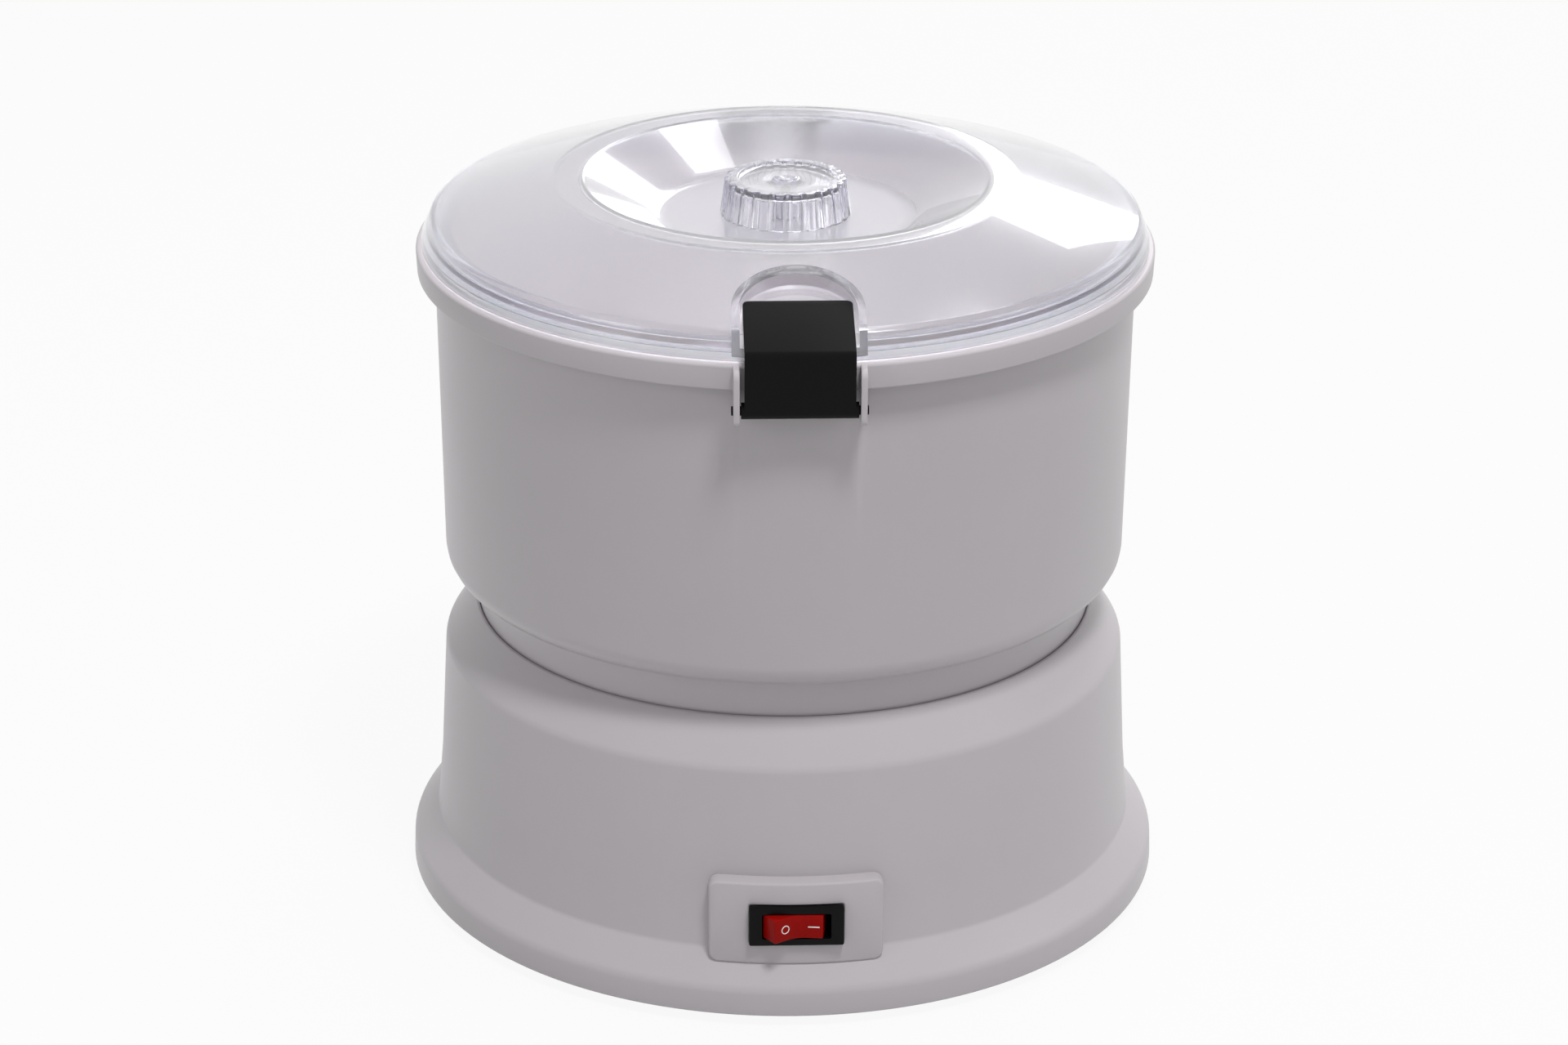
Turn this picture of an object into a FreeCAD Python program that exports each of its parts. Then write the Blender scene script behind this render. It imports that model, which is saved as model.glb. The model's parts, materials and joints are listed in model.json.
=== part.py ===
import FreeCAD, Part
import math
import os

import Sketcher

# Electric potato peeler: a motor base on suction feet, a lift-off drum with a turning abrasive
# disc inside, and a clear lid held by two latches.
# Millimetres. +Z is up, the origin is under the middle of the base on the table, and the
# switch and the front latch face -Y.

SIZES = {
    # Motor base, outside
    "foot_height": 4.0,
    "foot_radius": 130.0,
    "foot_draft": 0.4,
    "foot_edge_height": 13.4,
    "foot_crease_radius": 121.0,
    "foot_crease_height": 23.7,
    "waist_radius": 119.2,
    "waist_height": 43.4,
    "shoulder_radius": 116.8,
    "shoulder_height": 86.8,
    "seam_radius": 106.2,
    "seam_height": 100.8,
    "seam_rounding": 0.4,
    "shoulder_rounding": 4.0,
    "foot_rounding": 3.0,
    "base_wall": 2.6,
    "deck_drop": 1.2,
    "deck_thickness": 3.0,
    # Clearances
    "seat_gap": 0.3,
    "running_gap": 0.05,
    "fixed_gap": 0.03,
    # Tower in the middle of the deck, with the upper bush and the shaft seal
    "tower_radius": 13.5,
    "tower_rise": 10.4,
    "tower_bore": 9.0,
    "seal_height": 5.0,
    # Lugs that key the drum to the base
    "lug_circle": 80.0,
    "lug_width": 12.0,
    "lug_depth": 8.0,
    "lug_height": 8.0,
    "socket_wall": 2.4,
    # Bottom plate and feet
    "plate_thickness": 2.5,
    "boss_circle": 112.0,
    "boss_radius": 6.0,
    "boss_top_height": 40.0,
    "plate_screw_radius": 1.8,
    "plate_screw_length": 14.0,
    "screw_head_radius": 3.6,
    "screw_head_height": 1.4,
    "suction_circle": 104.0,
    "suction_radius": 15.0,
    "suction_neck_radius": 4.0,
    "suction_head_radius": 6.5,
    "vent_circle": 62.0,
    "vent_length": 26.0,
    "vent_width": 3.0,
    # Switch pad, switch and rocker
    "pad_rise": 5.2,
    "pad_width": 57.0,
    "pad_height": 29.4,
    "pad_corner": 3.0,
    "switch_height": 35.0,
    "bezel_sink": 1.2,
    "bezel_length": 31.0,
    "bezel_height": 14.0,
    "bezel_thickness": 2.8,
    "bezel_corner": 1.6,
    "switch_body_length": 26.8,
    "switch_body_height": 12.2,
    "switch_body_depth": 22.0,
    "rocker_half_length": 10.8,
    "rocker_height": 10.8,
    "rocker_crown": 1.6,
    "rocker_depth": 6.0,
    "rocker_tilt": 12.0,
    "rocker_stand": 2.2,
    "rocker_clearance": 0.5,
    "terminal_width": 6.3,
    "terminal_thickness": 0.8,
    "terminal_length": 9.0,
    "terminal_level": 3.2,
    "rocker_well_depth": 14.0,
    # Cord inlet in the rear wall
    "inlet_height": 36.0,
    "inlet_boss_radius": 13.0,
    "inlet_boss_depth": 3.0,
    "inlet_rise": 2.2,
    "inlet_radius": 7.0,
    "cord_bore": 3.6,
    "grommet_flange_radius": 10.0,
    "grommet_flange": 2.4,
    # Gear plate
    "gear_plate_height": 62.0,
    "gear_plate_thickness": 2.5,
    "gear_plate_radius": 76.0,
    "lightening_circle": 58.0,
    "lightening_radius": 11.0,
    "post_circle": 68.0,
    "post_radius": 5.0,
    "post_screw_radius": 1.5,
    "post_screw_length": 16.0,
    "post_screw_head_radius": 3.0,
    "post_screw_head_height": 2.0,
    # Gear train
    "pinion_teeth": 12.0,
    "wheel_teeth": 50.0,
    "fast_module": 1.0,
    "slow_module": 1.25,
    "tooth_backlash": 0.3,
    "idler_angle": 200.0,
    "motor_angle": 60.0,
    "fast_wheel_width": 6.0,
    "idler_pinion_width": 15.0,
    "slow_wheel_rise": 9.5,
    "slow_wheel_width": 10.0,
    "slow_hub_radius": 10.0,
    "motor_pinion_width": 6.5,
    "axle_radius": 3.0,
    "axle_boss_radius": 6.5,
    "axle_boss_drop": 4.6,
    # Spindle
    "spindle_radius": 5.0,
    "spindle_tail": 4.6,
    "spindle_rise": 4.0,
    "hex_flats": 8.0,
    "hex_length": 9.0,
    "hex_clearance": 0.3,
    "lower_bush_radius": 9.0,
    "bush_step": 2.0,
    "bush_flange": 1.5,
    "washer_space": 1.6,
    "circlip_groove": 0.8,
    "circlip_thickness": 1.0,
    "circlip_radius": 7.6,
    # Motor
    "core_bottom": 24.0,
    "core_stack": 24.0,
    "core_length": 68.0,
    "core_width": 50.0,
    "core_back": 22.0,
    "limb_width": 10.0,
    "window_length": 16.0,
    "window_width": 30.0,
    "rotor_radius": 14.0,
    "air_gap": 0.4,
    "rotor_length": 22.0,
    "motor_shaft_radius": 2.5,
    "bobbin_wall": 1.2,
    "bobbin_flange": 6.0,
    "coil_depth": 5.0,
    "coil_corner": 4.0,
    "shading_offset": 14.0,
    "shading_inner": 10.0,
    "shading_outer": 19.0,
    "shading_slot": 2.2,
    "shading_play": 0.2,
    "bracket_thickness": 2.0,
    "bracket_width": 18.0,
    "bracket_arch": 6.0,
    "bracket_foot_reach": 7.0,
    "motor_bush_radius": 6.0,
    "motor_bush_length": 7.0,
    "motor_screw_radius": 2.0,
    "motor_screw_offset": 20.0,
    "motor_screw_head_radius": 3.8,
    "motor_screw_head_height": 2.2,
    "spacer_radius": 2.9,
    "fan_radius": 25.0,
    "fan_blades": 6.0,
    "fan_height": 5.0,
    "fan_bottom": 7.6,
    "fan_plate": 1.2,
    # Terminal block
    "block_length": 30.0,
    "block_width": 16.0,
    "block_height": 12.0,
    "block_x": 40.0,
    "block_y": 70.0,
    "block_well_radius": 2.4,
    # Drum
    "ledge_inset": 1.3,
    "collar_spread": 1.4,
    "collar_rise": 13.2,
    "drum_floor": 3.0,
    "drum_foot_radius": 115.9,
    "drum_neck_radius": 117.2,
    "drum_wall": 2.5,
    "drum_corner": 9.0,
    "drum_height": 114.1,
    "band_overhang": 6.2,
    "band_height": 8.4,
    "band_draft": 0.4,
    "band_wall": 2.4,
    "band_rounding": 0.9,
    "tube_radius": 12.0,
    "tube_bore": 8.5,
    "tube_height": 23.0,
    "rib_count": 6.0,
    "rib_width": 7.0,
    "rib_depth": 3.0,
    "rib_height": 55.0,
    "rib_rise": 17.0,
    # Ears on the drum and the latches
    "ear_play": 3.0,
    "ear_thickness": 2.0,
    "ear_overhang": 4.4,
    "ear_height": 18.4,
    "ear_corner": 3.0,
    "latch_width": 34.4,
    "latch_standoff": 3.6,
    "latch_thickness": 2.4,
    "latch_rise": 5.5,
    "latch_reach": 27.0,
    "latch_slope": 16.0,
    "pivot_drop": 13.9,
    "barrel_radius": 2.6,
    "barrel_play": 1.0,
    "latch_pin_radius": 1.5,
    "pin_overhang": 1.2,
    "latch_bend_rounding": 1.8,
    "latch_corner": 2.0,
    # Lid
    "dish_depth": 13.2,
    "dish_floor_radius": 43.4,
    "ring_inner_radius": 67.4,
    "ring_outer_radius": 77.3,
    "lid_rise": 21.9,
    "cone_inset": 3.2,
    "cone_rise": 9.8,
    "skirt_inset": 1.9,
    "skirt_rise": 2.4,
    "lid_gap": 0.4,
    "lid_wall": 2.4,
    "lid_rounding": 1.2,
    "lip_gap": 1.1,
    "lip_thickness": 2.6,
    "lip_depth": 7.0,
    "seal_gap": 1.4,
    "seal_width": 3.6,
    "seal_rise": 2.5,
    "pocket_setback": 5.6,
    "pocket_play": 2.6,
    "pocket_wall": 2.5,
    # Knob on the lid
    "knob_foot_radius": 21.9,
    "knob_top_radius": 20.2,
    "knob_height": 12.5,
    "knob_wall": 2.2,
    "knob_recess_radius": 16.0,
    "knob_recess": 0.5,
    "knob_boss_radius": 4.0,
    "flute_count": 24.0,
    "flute_radius": 1.5,
    "flute_centre": 22.4,
    "knob_screw_radius": 1.5,
    "knob_screw_length": 9.0,
    # Peeling disc
    "disc_side_gap": 5.4,
    "disc_floor_gap": 3.5,
    "disc_edge": 3.5,
    "disc_thickness": 5.5,
    "hub_radius": 16.5,
    "hub_foot_radius": 24.0,
    "hub_wall_gap": 0.8,
    "hub_head": 14.0,
    "grit_inner_radius": 32.0,
    "grit_margin": 3.0,
    "grit_thickness": 1.0,
    "ridge_radius": 7.0,
    "ridge_count": 3.0,
    "ridge_start": 42.0,
    "ridge_length": 54.0,
}

doc = FreeCAD.newDocument("potato_peeler")
sheet = doc.addObject("Spreadsheet::Sheet", "Sizes")
for row, (name, number) in enumerate(SIZES.items(), start=1):
    sheet.set(f"A{row}", name)
    sheet.set(f"B{row}", str(number))
    sheet.setAlias(f"B{row}", name)
doc.recompute()

pieces = []


class Size:
    """A length or angle with its value and the spreadsheet expression that gives it."""

    def __init__(self, value, text):
        self.value = value
        self.text = text

    def __add__(self, other):
        other = as_size(other)
        return Size(self.value + other.value, f"({self.text} + {other.text})")

    def __sub__(self, other):
        other = as_size(other)
        return Size(self.value - other.value, f"({self.text} - {other.text})")

    def __mul__(self, other):
        other = as_size(other)
        return Size(self.value * other.value, f"({self.text} * {other.text})")

    def __truediv__(self, other):
        other = as_size(other)
        return Size(self.value / other.value, f"({self.text} / {other.text})")

    def __radd__(self, other):
        return as_size(other) + self

    def __rsub__(self, other):
        return as_size(other) - self

    def __rmul__(self, other):
        return as_size(other) * self

    def __neg__(self):
        return Size(-self.value, f"(0 - {self.text})")


def as_size(thing):
    """A plain number as a Size, or the Size itself."""
    if isinstance(thing, Size):
        return thing
    return Size(float(thing), f"({float(thing):.9f})")


class Sizes:
    """The driving dimensions by name, as cells of the spreadsheet."""

    def __getattr__(self, name):
        return Size(SIZES[name], f"Sizes.{name}")


d = Sizes()


def sine(angle):
    """Sine of an angle in degrees that stays tied to the spreadsheet."""
    angle = as_size(angle)
    return Size(math.sin(math.radians(angle.value)), f"sin({angle.text} * 1 deg)")


def cosine(angle):
    """Cosine of an angle in degrees that stays tied to the spreadsheet."""
    angle = as_size(angle)
    return Size(math.cos(math.radians(angle.value)), f"cos({angle.text} * 1 deg)")


def tangent(angle):
    """Tangent of an angle in degrees."""
    return sine(angle) / cosine(angle)


def on_circle(radius, angle):
    """X and Y of a point at a radius and an angle about the Z axis."""
    return as_size(radius) * cosine(angle), as_size(radius) * sine(angle)


def bind(thing, name, size):
    """Tie one property of an object to the spreadsheet."""
    thing.setExpression(name, as_size(size).text)


def place(thing, x=0, y=0, z=0, axis=(0, 0, 1), angle=0):
    """Set where an object stands, tied to the spreadsheet, and how it is turned."""
    spot = [as_size(number) for number in (x, y, z)]
    turn = FreeCAD.Rotation(FreeCAD.Vector(*axis), as_size(angle).value)
    thing.Placement = FreeCAD.Placement(FreeCAD.Vector(*[number.value for number in spot]), turn)
    for letter, number in zip("xyz", spot):
        bind(thing, f"Placement.Base.{letter}", number)
    return thing


def cylinder(radius, height, x=0, y=0, z=0, axis=(0, 0, 1), angle=0):
    """A cylinder that stands on the middle of its lower face."""
    thing = doc.addObject("Part::Cylinder", "Cylinder")
    bind(thing, "Radius", radius)
    bind(thing, "Height", height)
    return place(thing, x, y, z, axis, angle)


def cross_cylinder(radius, length, y=0, z=0):
    """A cylinder along X, centred on the YZ plane."""
    return cylinder(radius, length, as_size(length) / -2, y, z, (0, 1, 0), 90)


def box(length, width, height, x=0, y=0, z=0):
    """A block centred on x and y that stands on z."""
    thing = doc.addObject("Part::Box", "Box")
    bind(thing, "Length", length)
    bind(thing, "Width", width)
    bind(thing, "Height", height)
    return place(thing, as_size(x) - as_size(length) / 2, as_size(y) - as_size(width) / 2, z)


def turned_box(length, width, height, radius, z, angle):
    """A block whose middle lies at a radius from the Z axis, with its length along that radius."""
    thing = doc.addObject("Part::Box", "Box")
    bind(thing, "Length", length)
    bind(thing, "Width", width)
    bind(thing, "Height", height)
    start = as_size(radius) - as_size(length) / 2
    side = as_size(width) / 2
    x = start * cosine(angle) + side * sine(angle)
    y = start * sine(angle) - side * cosine(angle)
    return place(thing, x, y, z, (0, 0, 1), angle)


def fuse(*parts):
    """One solid from several."""
    thing = doc.addObject("Part::MultiFuse", "Fusion")
    thing.Shapes = list(parts)
    thing.Refine = True
    return thing


def cut(base, *tools):
    """A solid with others taken away from it."""
    thing = doc.addObject("Part::Cut", "Cut")
    thing.Base = base
    thing.Tool = tools[0] if len(tools) == 1 else fuse(*tools)
    return thing


def common(first, second):
    """What two solids share."""
    thing = doc.addObject("Part::MultiCommon", "Common")
    thing.Shapes = [first, second]
    return thing


def ring(outer, inner, height, x=0, y=0, z=0):
    """A tube with flat ends."""
    hole = cylinder(inner, as_size(height) + 2, x, y, as_size(z) - 1)
    return cut(cylinder(outer, height, x, y, z), hole)


def group(parts):
    """Several like solids that share one node."""
    thing = doc.addObject("Part::Compound", "Group")
    thing.Links = list(parts)
    return thing


def rounded(base, radius, chosen):
    """Round the edges of an object that a test picks."""
    doc.recompute()
    thing = doc.addObject("Part::Fillet", "Fillet")
    thing.Base = base
    amount = as_size(radius).value
    edges = []
    for number, edge in enumerate(base.Shape.Edges, start=1):
        if chosen(edge):
            edges.append((number, amount, amount))
    thing.Edges = edges
    return thing


def piece(name, thing):
    """Give an object the name of its node and keep it for export."""
    thing.Label = name
    pieces.append(thing)
    return thing


def origin_plane(body, role):
    """One of a body's own origin planes."""
    for feature in body.Origin.OriginFeatures:
        if feature.Role == role:
            return feature
    raise ValueError(role)


def sketch_on(body, role, name):
    """A sketch on one of a body's origin planes."""
    sketch = body.newObject("Sketcher::SketchObject", name)
    sketch.AttachmentSupport = [(origin_plane(body, role), "")]
    sketch.MapMode = "FlatFace"
    return sketch


def fix_point(sketch, geometry, end, across, up):
    """Hold one point of a sketch at distances from the origin that the spreadsheet gives."""
    for kind, size in (("DistanceX", as_size(across)), ("DistanceY", as_size(up))):
        if size.value == 0:
            axis = -2 if kind == "DistanceX" else -1
            sketch.addConstraint(Sketcher.Constraint("PointOnObject", geometry, end, axis))
            continue
        limit = Sketcher.Constraint(kind, -1, 1, geometry, end, size.value)
        index = sketch.addConstraint(limit)
        sketch.setExpression(f"Constraints[{index}]", size.text)


def draw_outline(sketch, corners):
    """A closed outline of straight lines through corners."""
    points = [FreeCAD.Vector(as_size(a).value, as_size(b).value, 0) for a, b in corners]
    count = len(points)
    for index in range(count):
        line = Part.LineSegment(points[index], points[(index + 1) % count])
        sketch.addGeometry(line, False)
    for index in range(count):
        following = (index + 1) % count
        sketch.addConstraint(Sketcher.Constraint("Coincident", index, 2, following, 1))
    for index, (across, up) in enumerate(corners):
        fix_point(sketch, index, 1, across, up)


def revolved(name, corners):
    """A body turned about the Z axis from an outline of radius and height."""
    body = doc.addObject("PartDesign::Body", name)
    sketch = sketch_on(body, "XZ_Plane", name + "_outline")
    draw_outline(sketch, corners)
    turn = body.newObject("PartDesign::Revolution", name + "_turn")
    turn.Profile = sketch
    turn.ReferenceAxis = (sketch, ["V_Axis"])
    turn.Angle = 360
    sketch.Visibility = False
    return body


def body_rounded(body, radius, places):
    """Round the circular edges of a turned body that lie at a radius and height."""
    doc.recompute()
    base = body.Tip
    names = []
    for number, edge in enumerate(base.Shape.Edges, start=1):
        curve = edge.Curve
        if not isinstance(curve, Part.Circle):
            continue
        for across, up in places:
            near = abs(curve.Radius - as_size(across).value) < 0.01
            if near and abs(curve.Center.z - as_size(up).value) < 0.01:
                names.append(f"Edge{number}")
    fillet = body.newObject("PartDesign::Fillet", body.Name + "_fillet")
    fillet.Base = (base, names)
    bind(fillet, "Radius", radius)
    body.Tip = fillet
    return body


def padded(name, role, corners, width):
    """A body whose outline lies on an origin plane and is padded to both sides of it."""
    body = doc.addObject("PartDesign::Body", name)
    sketch = sketch_on(body, role, name + "_outline")
    draw_outline(sketch, corners)
    pad = body.newObject("PartDesign::Pad", name + "_pad")
    pad.Profile = sketch
    pad.Midplane = True
    bind(pad, "Length", width)
    return body


# Heights and places that several pieces share

deck_top = d.seam_height - d.deck_drop
deck_underside = deck_top - d.deck_thickness
tower_top = deck_top + d.tower_rise
plate_top = d.foot_height + d.plate_thickness
gear_plate_top = d.gear_plate_height + d.gear_plate_thickness
slow_wheel_height = gear_plate_top + d.slow_wheel_rise
spindle_bottom = d.gear_plate_height - d.spindle_tail
inlet_seat = d.waist_radius + d.inlet_rise
inlet_inner_face = d.waist_radius - d.base_wall - d.inlet_boss_depth
pad_radius = d.waist_radius + d.pad_rise
bezel_seat = pad_radius - d.bezel_sink
rocker_pivot = bezel_seat + d.rocker_stand
collar_foot_radius = d.seam_radius - d.ledge_inset
collar_top_radius = collar_foot_radius + d.collar_spread
drum_floor_height = d.seam_height + d.collar_rise
drum_floor_top = drum_floor_height + d.drum_floor
drum_top_height = drum_floor_height + d.drum_height
band_radius = d.drum_neck_radius + d.band_overhang
rib_bottom = drum_floor_top + d.rib_rise
tube_top = drum_floor_top + d.tube_height
spindle_shoulder = tube_top + d.spindle_rise
disc_radius = d.drum_foot_radius - d.drum_wall - d.disc_side_gap
disc_height = drum_floor_top + d.disc_floor_gap
grit_outer_radius = disc_radius - d.grit_margin
fast_distance = d.fast_module * (d.pinion_teeth + d.wheel_teeth) / 2
slow_distance = d.slow_module * (d.pinion_teeth + d.wheel_teeth) / 2
idler_x, idler_y = on_circle(slow_distance, d.idler_angle)
motor_x = idler_x + fast_distance * cosine(d.motor_angle)
motor_y = idler_y + fast_distance * sine(d.motor_angle)
core_top = d.core_bottom + d.core_stack
ear_gap = d.latch_width + d.ear_play
ear_reach = band_radius + d.ear_overhang
ear_bottom = drum_top_height - d.ear_height
latch_face = band_radius + d.latch_standoff
latch_tip = latch_face - d.latch_reach
latch_bend_height = drum_top_height + d.latch_rise
latch_pivot_height = drum_top_height - d.pivot_drop
barrel_width = ear_gap - d.barrel_play
latch_pin_length = ear_gap + 2 * d.ear_thickness + d.pin_overhang
pivot_radius = latch_face - d.barrel_radius
latch_drop = d.latch_thickness / cosine(d.latch_slope)
latch_tip_height = latch_bend_height + (latch_face - latch_tip) * tangent(d.latch_slope)
lid_bottom = drum_top_height + d.lid_gap
lid_top_height = drum_top_height + d.lid_rise
dish_floor_height = lid_top_height - d.dish_depth
skirt_radius = band_radius - d.skirt_inset
skirt_edge_height = drum_top_height + d.skirt_rise
cone_radius = skirt_radius - d.cone_inset
cone_height = drum_top_height + d.cone_rise
lip_radius = d.drum_neck_radius - d.drum_wall - d.lip_gap
seal_inner_radius = lip_radius + d.seal_gap
seal_top = drum_top_height + d.seal_rise
pocket_centre = latch_tip + d.pocket_setback
pocket_width = d.latch_width + d.pocket_play
knob_top_height = dish_floor_height + d.knob_height
quarter_angles = (45, 135, 225, 315)
foot_angles = (0, 90, 180, 270)
lug_angles = (30, 150, 270)

PRESSURE_ANGLE = 20
TOOTH_ROOT = 1.25
TOOTH_TIP = 0.85


def runs_along_y(edge):
    """Whether a straight edge runs from front to back."""
    start, end = edge.Vertexes[0].Point, edge.Vertexes[1].Point
    return abs(start.y - end.y) > 1


def base_shell():
    """The moulded skin of the base with its deck, drum ledge and spindle tower."""
    wall = d.base_wall
    inside_crease = d.foot_crease_height - wall / 2
    corners = [
        (d.seam_radius, d.seam_height),
        (d.shoulder_radius, d.shoulder_height),
        (d.waist_radius, d.waist_height),
        (d.foot_crease_radius, d.foot_crease_height),
        (d.foot_radius - d.foot_draft, d.foot_edge_height),
        (d.foot_radius, d.foot_height),
        (d.foot_radius - wall, d.foot_height),
        (d.foot_radius - d.foot_draft - wall, d.foot_edge_height - wall / 2),
        (d.foot_crease_radius - wall, inside_crease),
        (d.waist_radius - wall, d.waist_height),
        (d.shoulder_radius - wall, d.shoulder_height - wall / 2),
        (d.seam_radius - wall, deck_underside),
        (d.tower_bore, deck_underside),
        (d.tower_bore, tower_top),
        (d.tower_radius, tower_top),
        (d.tower_radius, deck_top),
        (collar_foot_radius + d.seat_gap, deck_top),
        (collar_foot_radius + d.seat_gap, d.seam_height),
    ]
    body = revolved("base_skin", corners)
    body_rounded(body, d.seam_rounding, [(d.seam_radius, d.seam_height)])
    body_rounded(body, d.shoulder_rounding, [(d.shoulder_radius, d.shoulder_height)])
    soft_edge = (d.foot_radius - d.foot_draft, d.foot_edge_height)
    body_rounded(body, d.foot_rounding, [soft_edge])
    return body


def switch_pad():
    """The raised pad round the switch, curved with the wall and rounded at its corners."""
    inner_end = d.waist_radius - d.base_wall - 1
    depth = pad_radius + 2 - inner_end
    bottom = d.switch_height - d.pad_height / 2
    block = box(d.pad_width, depth, d.pad_height, 0, -(inner_end + depth / 2), bottom)
    soft = rounded(block, d.pad_corner, runs_along_y)
    limit = cylinder(pad_radius, d.pad_height + 20, 0, 0, bottom - 10)
    return common(soft, limit)


def base_housing():
    """The housing: skin, pad, inlet boss, screw bosses, gear posts, axle boss and lugs."""
    parts = [base_shell(), switch_pad()]
    holes = []
    parts.append(cylinder(d.inlet_boss_radius, inlet_seat - inlet_inner_face,
                          0, inlet_seat, d.inlet_height, (1, 0, 0), 90))
    for angle in quarter_angles:
        x, y = on_circle(d.boss_circle, angle)
        parts.append(cylinder(d.boss_radius, d.boss_top_height - plate_top, x, y, plate_top))
        holes.append(cylinder(d.plate_screw_radius + d.fixed_gap, d.plate_screw_length + 2,
                              x, y, plate_top - 1))
        x, y = on_circle(d.post_circle, angle)
        parts.append(cylinder(d.post_radius, deck_underside + 1 - gear_plate_top,
                              x, y, gear_plate_top))
        holes.append(cylinder(d.post_screw_radius + d.fixed_gap, d.post_screw_length + 2,
                              x, y, gear_plate_top - 1))
    parts.append(cylinder(d.axle_boss_radius, d.axle_boss_drop + 1,
                          idler_x, idler_y, deck_underside - d.axle_boss_drop))
    holes.append(cylinder(d.axle_radius + d.fixed_gap, d.axle_boss_drop + 1,
                          idler_x, idler_y, deck_underside - d.axle_boss_drop - 1))
    for angle in lug_angles:
        parts.append(turned_box(d.lug_depth, d.lug_width, d.lug_height + 1,
                                d.lug_circle, deck_top - 1, angle))
    seat_depth = pad_radius - bezel_seat + 2
    seat_length = d.bezel_length + 2 * d.seat_gap
    seat_height = d.bezel_height + 2 * d.seat_gap
    holes.append(box(seat_length, seat_depth, seat_height,
                     0, -(bezel_seat + seat_depth / 2), d.switch_height - seat_height / 2))
    opening_length = d.switch_body_length + 2 * d.seat_gap
    opening_height = d.switch_body_height + 2 * d.seat_gap
    opening_depth = bezel_seat - inlet_inner_face + 8
    holes.append(box(opening_length, opening_depth, opening_height,
                     0, -(bezel_seat + 1 - opening_depth / 2),
                     d.switch_height - opening_height / 2))
    inlet_depth = inlet_seat - inlet_inner_face + 8
    holes.append(cylinder(d.inlet_radius, inlet_depth, 0, inlet_seat + 1, d.inlet_height,
                          (1, 0, 0), 90))
    piece("base_housing", cut(fuse(*parts), *holes))


def base_plate():
    """The bottom plate with vent slots, screw holes and holes for the feet."""
    plate = cylinder(d.foot_radius - d.base_wall - d.seat_gap, d.plate_thickness,
                     0, 0, d.foot_height)
    holes = []
    below = d.foot_height - 1
    through = d.plate_thickness + 2
    for angle in quarter_angles:
        x, y = on_circle(d.boss_circle, angle)
        holes.append(cylinder(d.plate_screw_radius + d.seat_gap, through, x, y, below))
    for angle in foot_angles:
        x, y = on_circle(d.suction_circle, angle)
        holes.append(cylinder(d.suction_neck_radius, through, x, y, below))
    vent_step = 15
    for angle in range(0, 360, vent_step):
        holes.append(turned_box(d.vent_length, d.vent_width, through, d.vent_circle, below, angle))
    piece("base_plate", cut(plate, *holes))


def base_plate_screws():
    """Four screws with low round heads under the plate."""
    screws = []
    for angle in quarter_angles:
        x, y = on_circle(d.boss_circle, angle)
        head = cylinder(d.screw_head_radius, d.screw_head_height,
                        x, y, d.foot_height - d.screw_head_height)
        shank = cylinder(d.plate_screw_radius, d.plate_screw_length + d.plate_thickness / 2,
                         x, y, d.foot_height - 0.5)
        screws.append(fuse(head, shank))
    piece("base_plate_screws", group(screws))


def suction_feet():
    """Four rubber feet: a hollow sucker, a neck through the plate and a head that holds it."""
    neck = d.suction_neck_radius - d.fixed_gap
    for number, angle in enumerate(foot_angles, start=1):
        corners = [
            (0, d.foot_height * 0.45),
            (d.suction_radius * 0.8, 0.8),
            (d.suction_radius - 1.2, 0),
            (d.suction_radius, 0),
            (d.suction_radius, 0.8),
            (d.suction_head_radius, d.foot_height * 0.8),
            (d.suction_head_radius, d.foot_height),
            (neck, d.foot_height),
            (neck, plate_top),
            (d.suction_head_radius - 1, plate_top),
            (neck, plate_top + 3),
            (0, plate_top + 3),
        ]
        body = revolved(f"foot_{number}", corners)
        x, y = on_circle(d.suction_circle, angle)
        place(body, x, y, 0)
        piece(f"suction_foot_{number}", body)


def switch_housing():
    """The black switch: a bezel frame and the body behind the wall, open in front."""
    bottom = d.switch_height - d.bezel_height / 2
    bezel = box(d.bezel_length, d.bezel_thickness, d.bezel_height,
                0, -(bezel_seat + d.bezel_thickness / 2), bottom)
    frame = rounded(bezel, d.bezel_corner, runs_along_y)
    core = box(d.switch_body_length, d.switch_body_depth, d.switch_body_height,
               0, -(bezel_seat - d.switch_body_depth / 2),
               d.switch_height - d.switch_body_height / 2)
    opening_length = 2 * (d.rocker_half_length + d.rocker_clearance)
    opening_height = d.rocker_height + d.rocker_clearance
    opening_depth = d.bezel_thickness + d.rocker_well_depth
    opening = box(opening_length, opening_depth, opening_height,
                  0, -(bezel_seat + d.bezel_thickness + 1 - opening_depth / 2),
                  d.switch_height - opening_height / 2)
    piece("switch_housing", cut(fuse(frame, core), opening))


def switch_rocker():
    """The rocker, turned so that its I end is pressed in."""
    half = d.rocker_half_length
    corners = [
        (-half, -d.rocker_crown),
        (-half / 2, -(d.rocker_crown * 0.25)),
        (half / 2, -(d.rocker_crown * 0.25)),
        (half, -d.rocker_crown),
        (half - 1, d.rocker_depth),
        (half / 3, d.rocker_depth + 2),
        (-half / 3, d.rocker_depth + 2),
        (1 - half, d.rocker_depth),
    ]
    body = padded("rocker", "XY_Plane", corners, d.rocker_height)
    place(body, 0, -rocker_pivot, d.switch_height, (0, 0, 1), d.rocker_tilt)
    piece("switch_rocker", body)


def switch_terminals():
    """Four brass blades behind the switch."""
    blades = []
    back = bezel_seat - d.switch_body_depth
    for side in (-1, 1):
        for level in (-1, 1):
            x = side * d.switch_body_length / 4
            z = d.switch_height + level * d.terminal_level - d.terminal_thickness / 2
            blades.append(box(d.terminal_width, d.terminal_length, d.terminal_thickness,
                              x, -(back - d.terminal_length / 2), z))
    piece("switch_terminals", group(blades))


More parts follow.
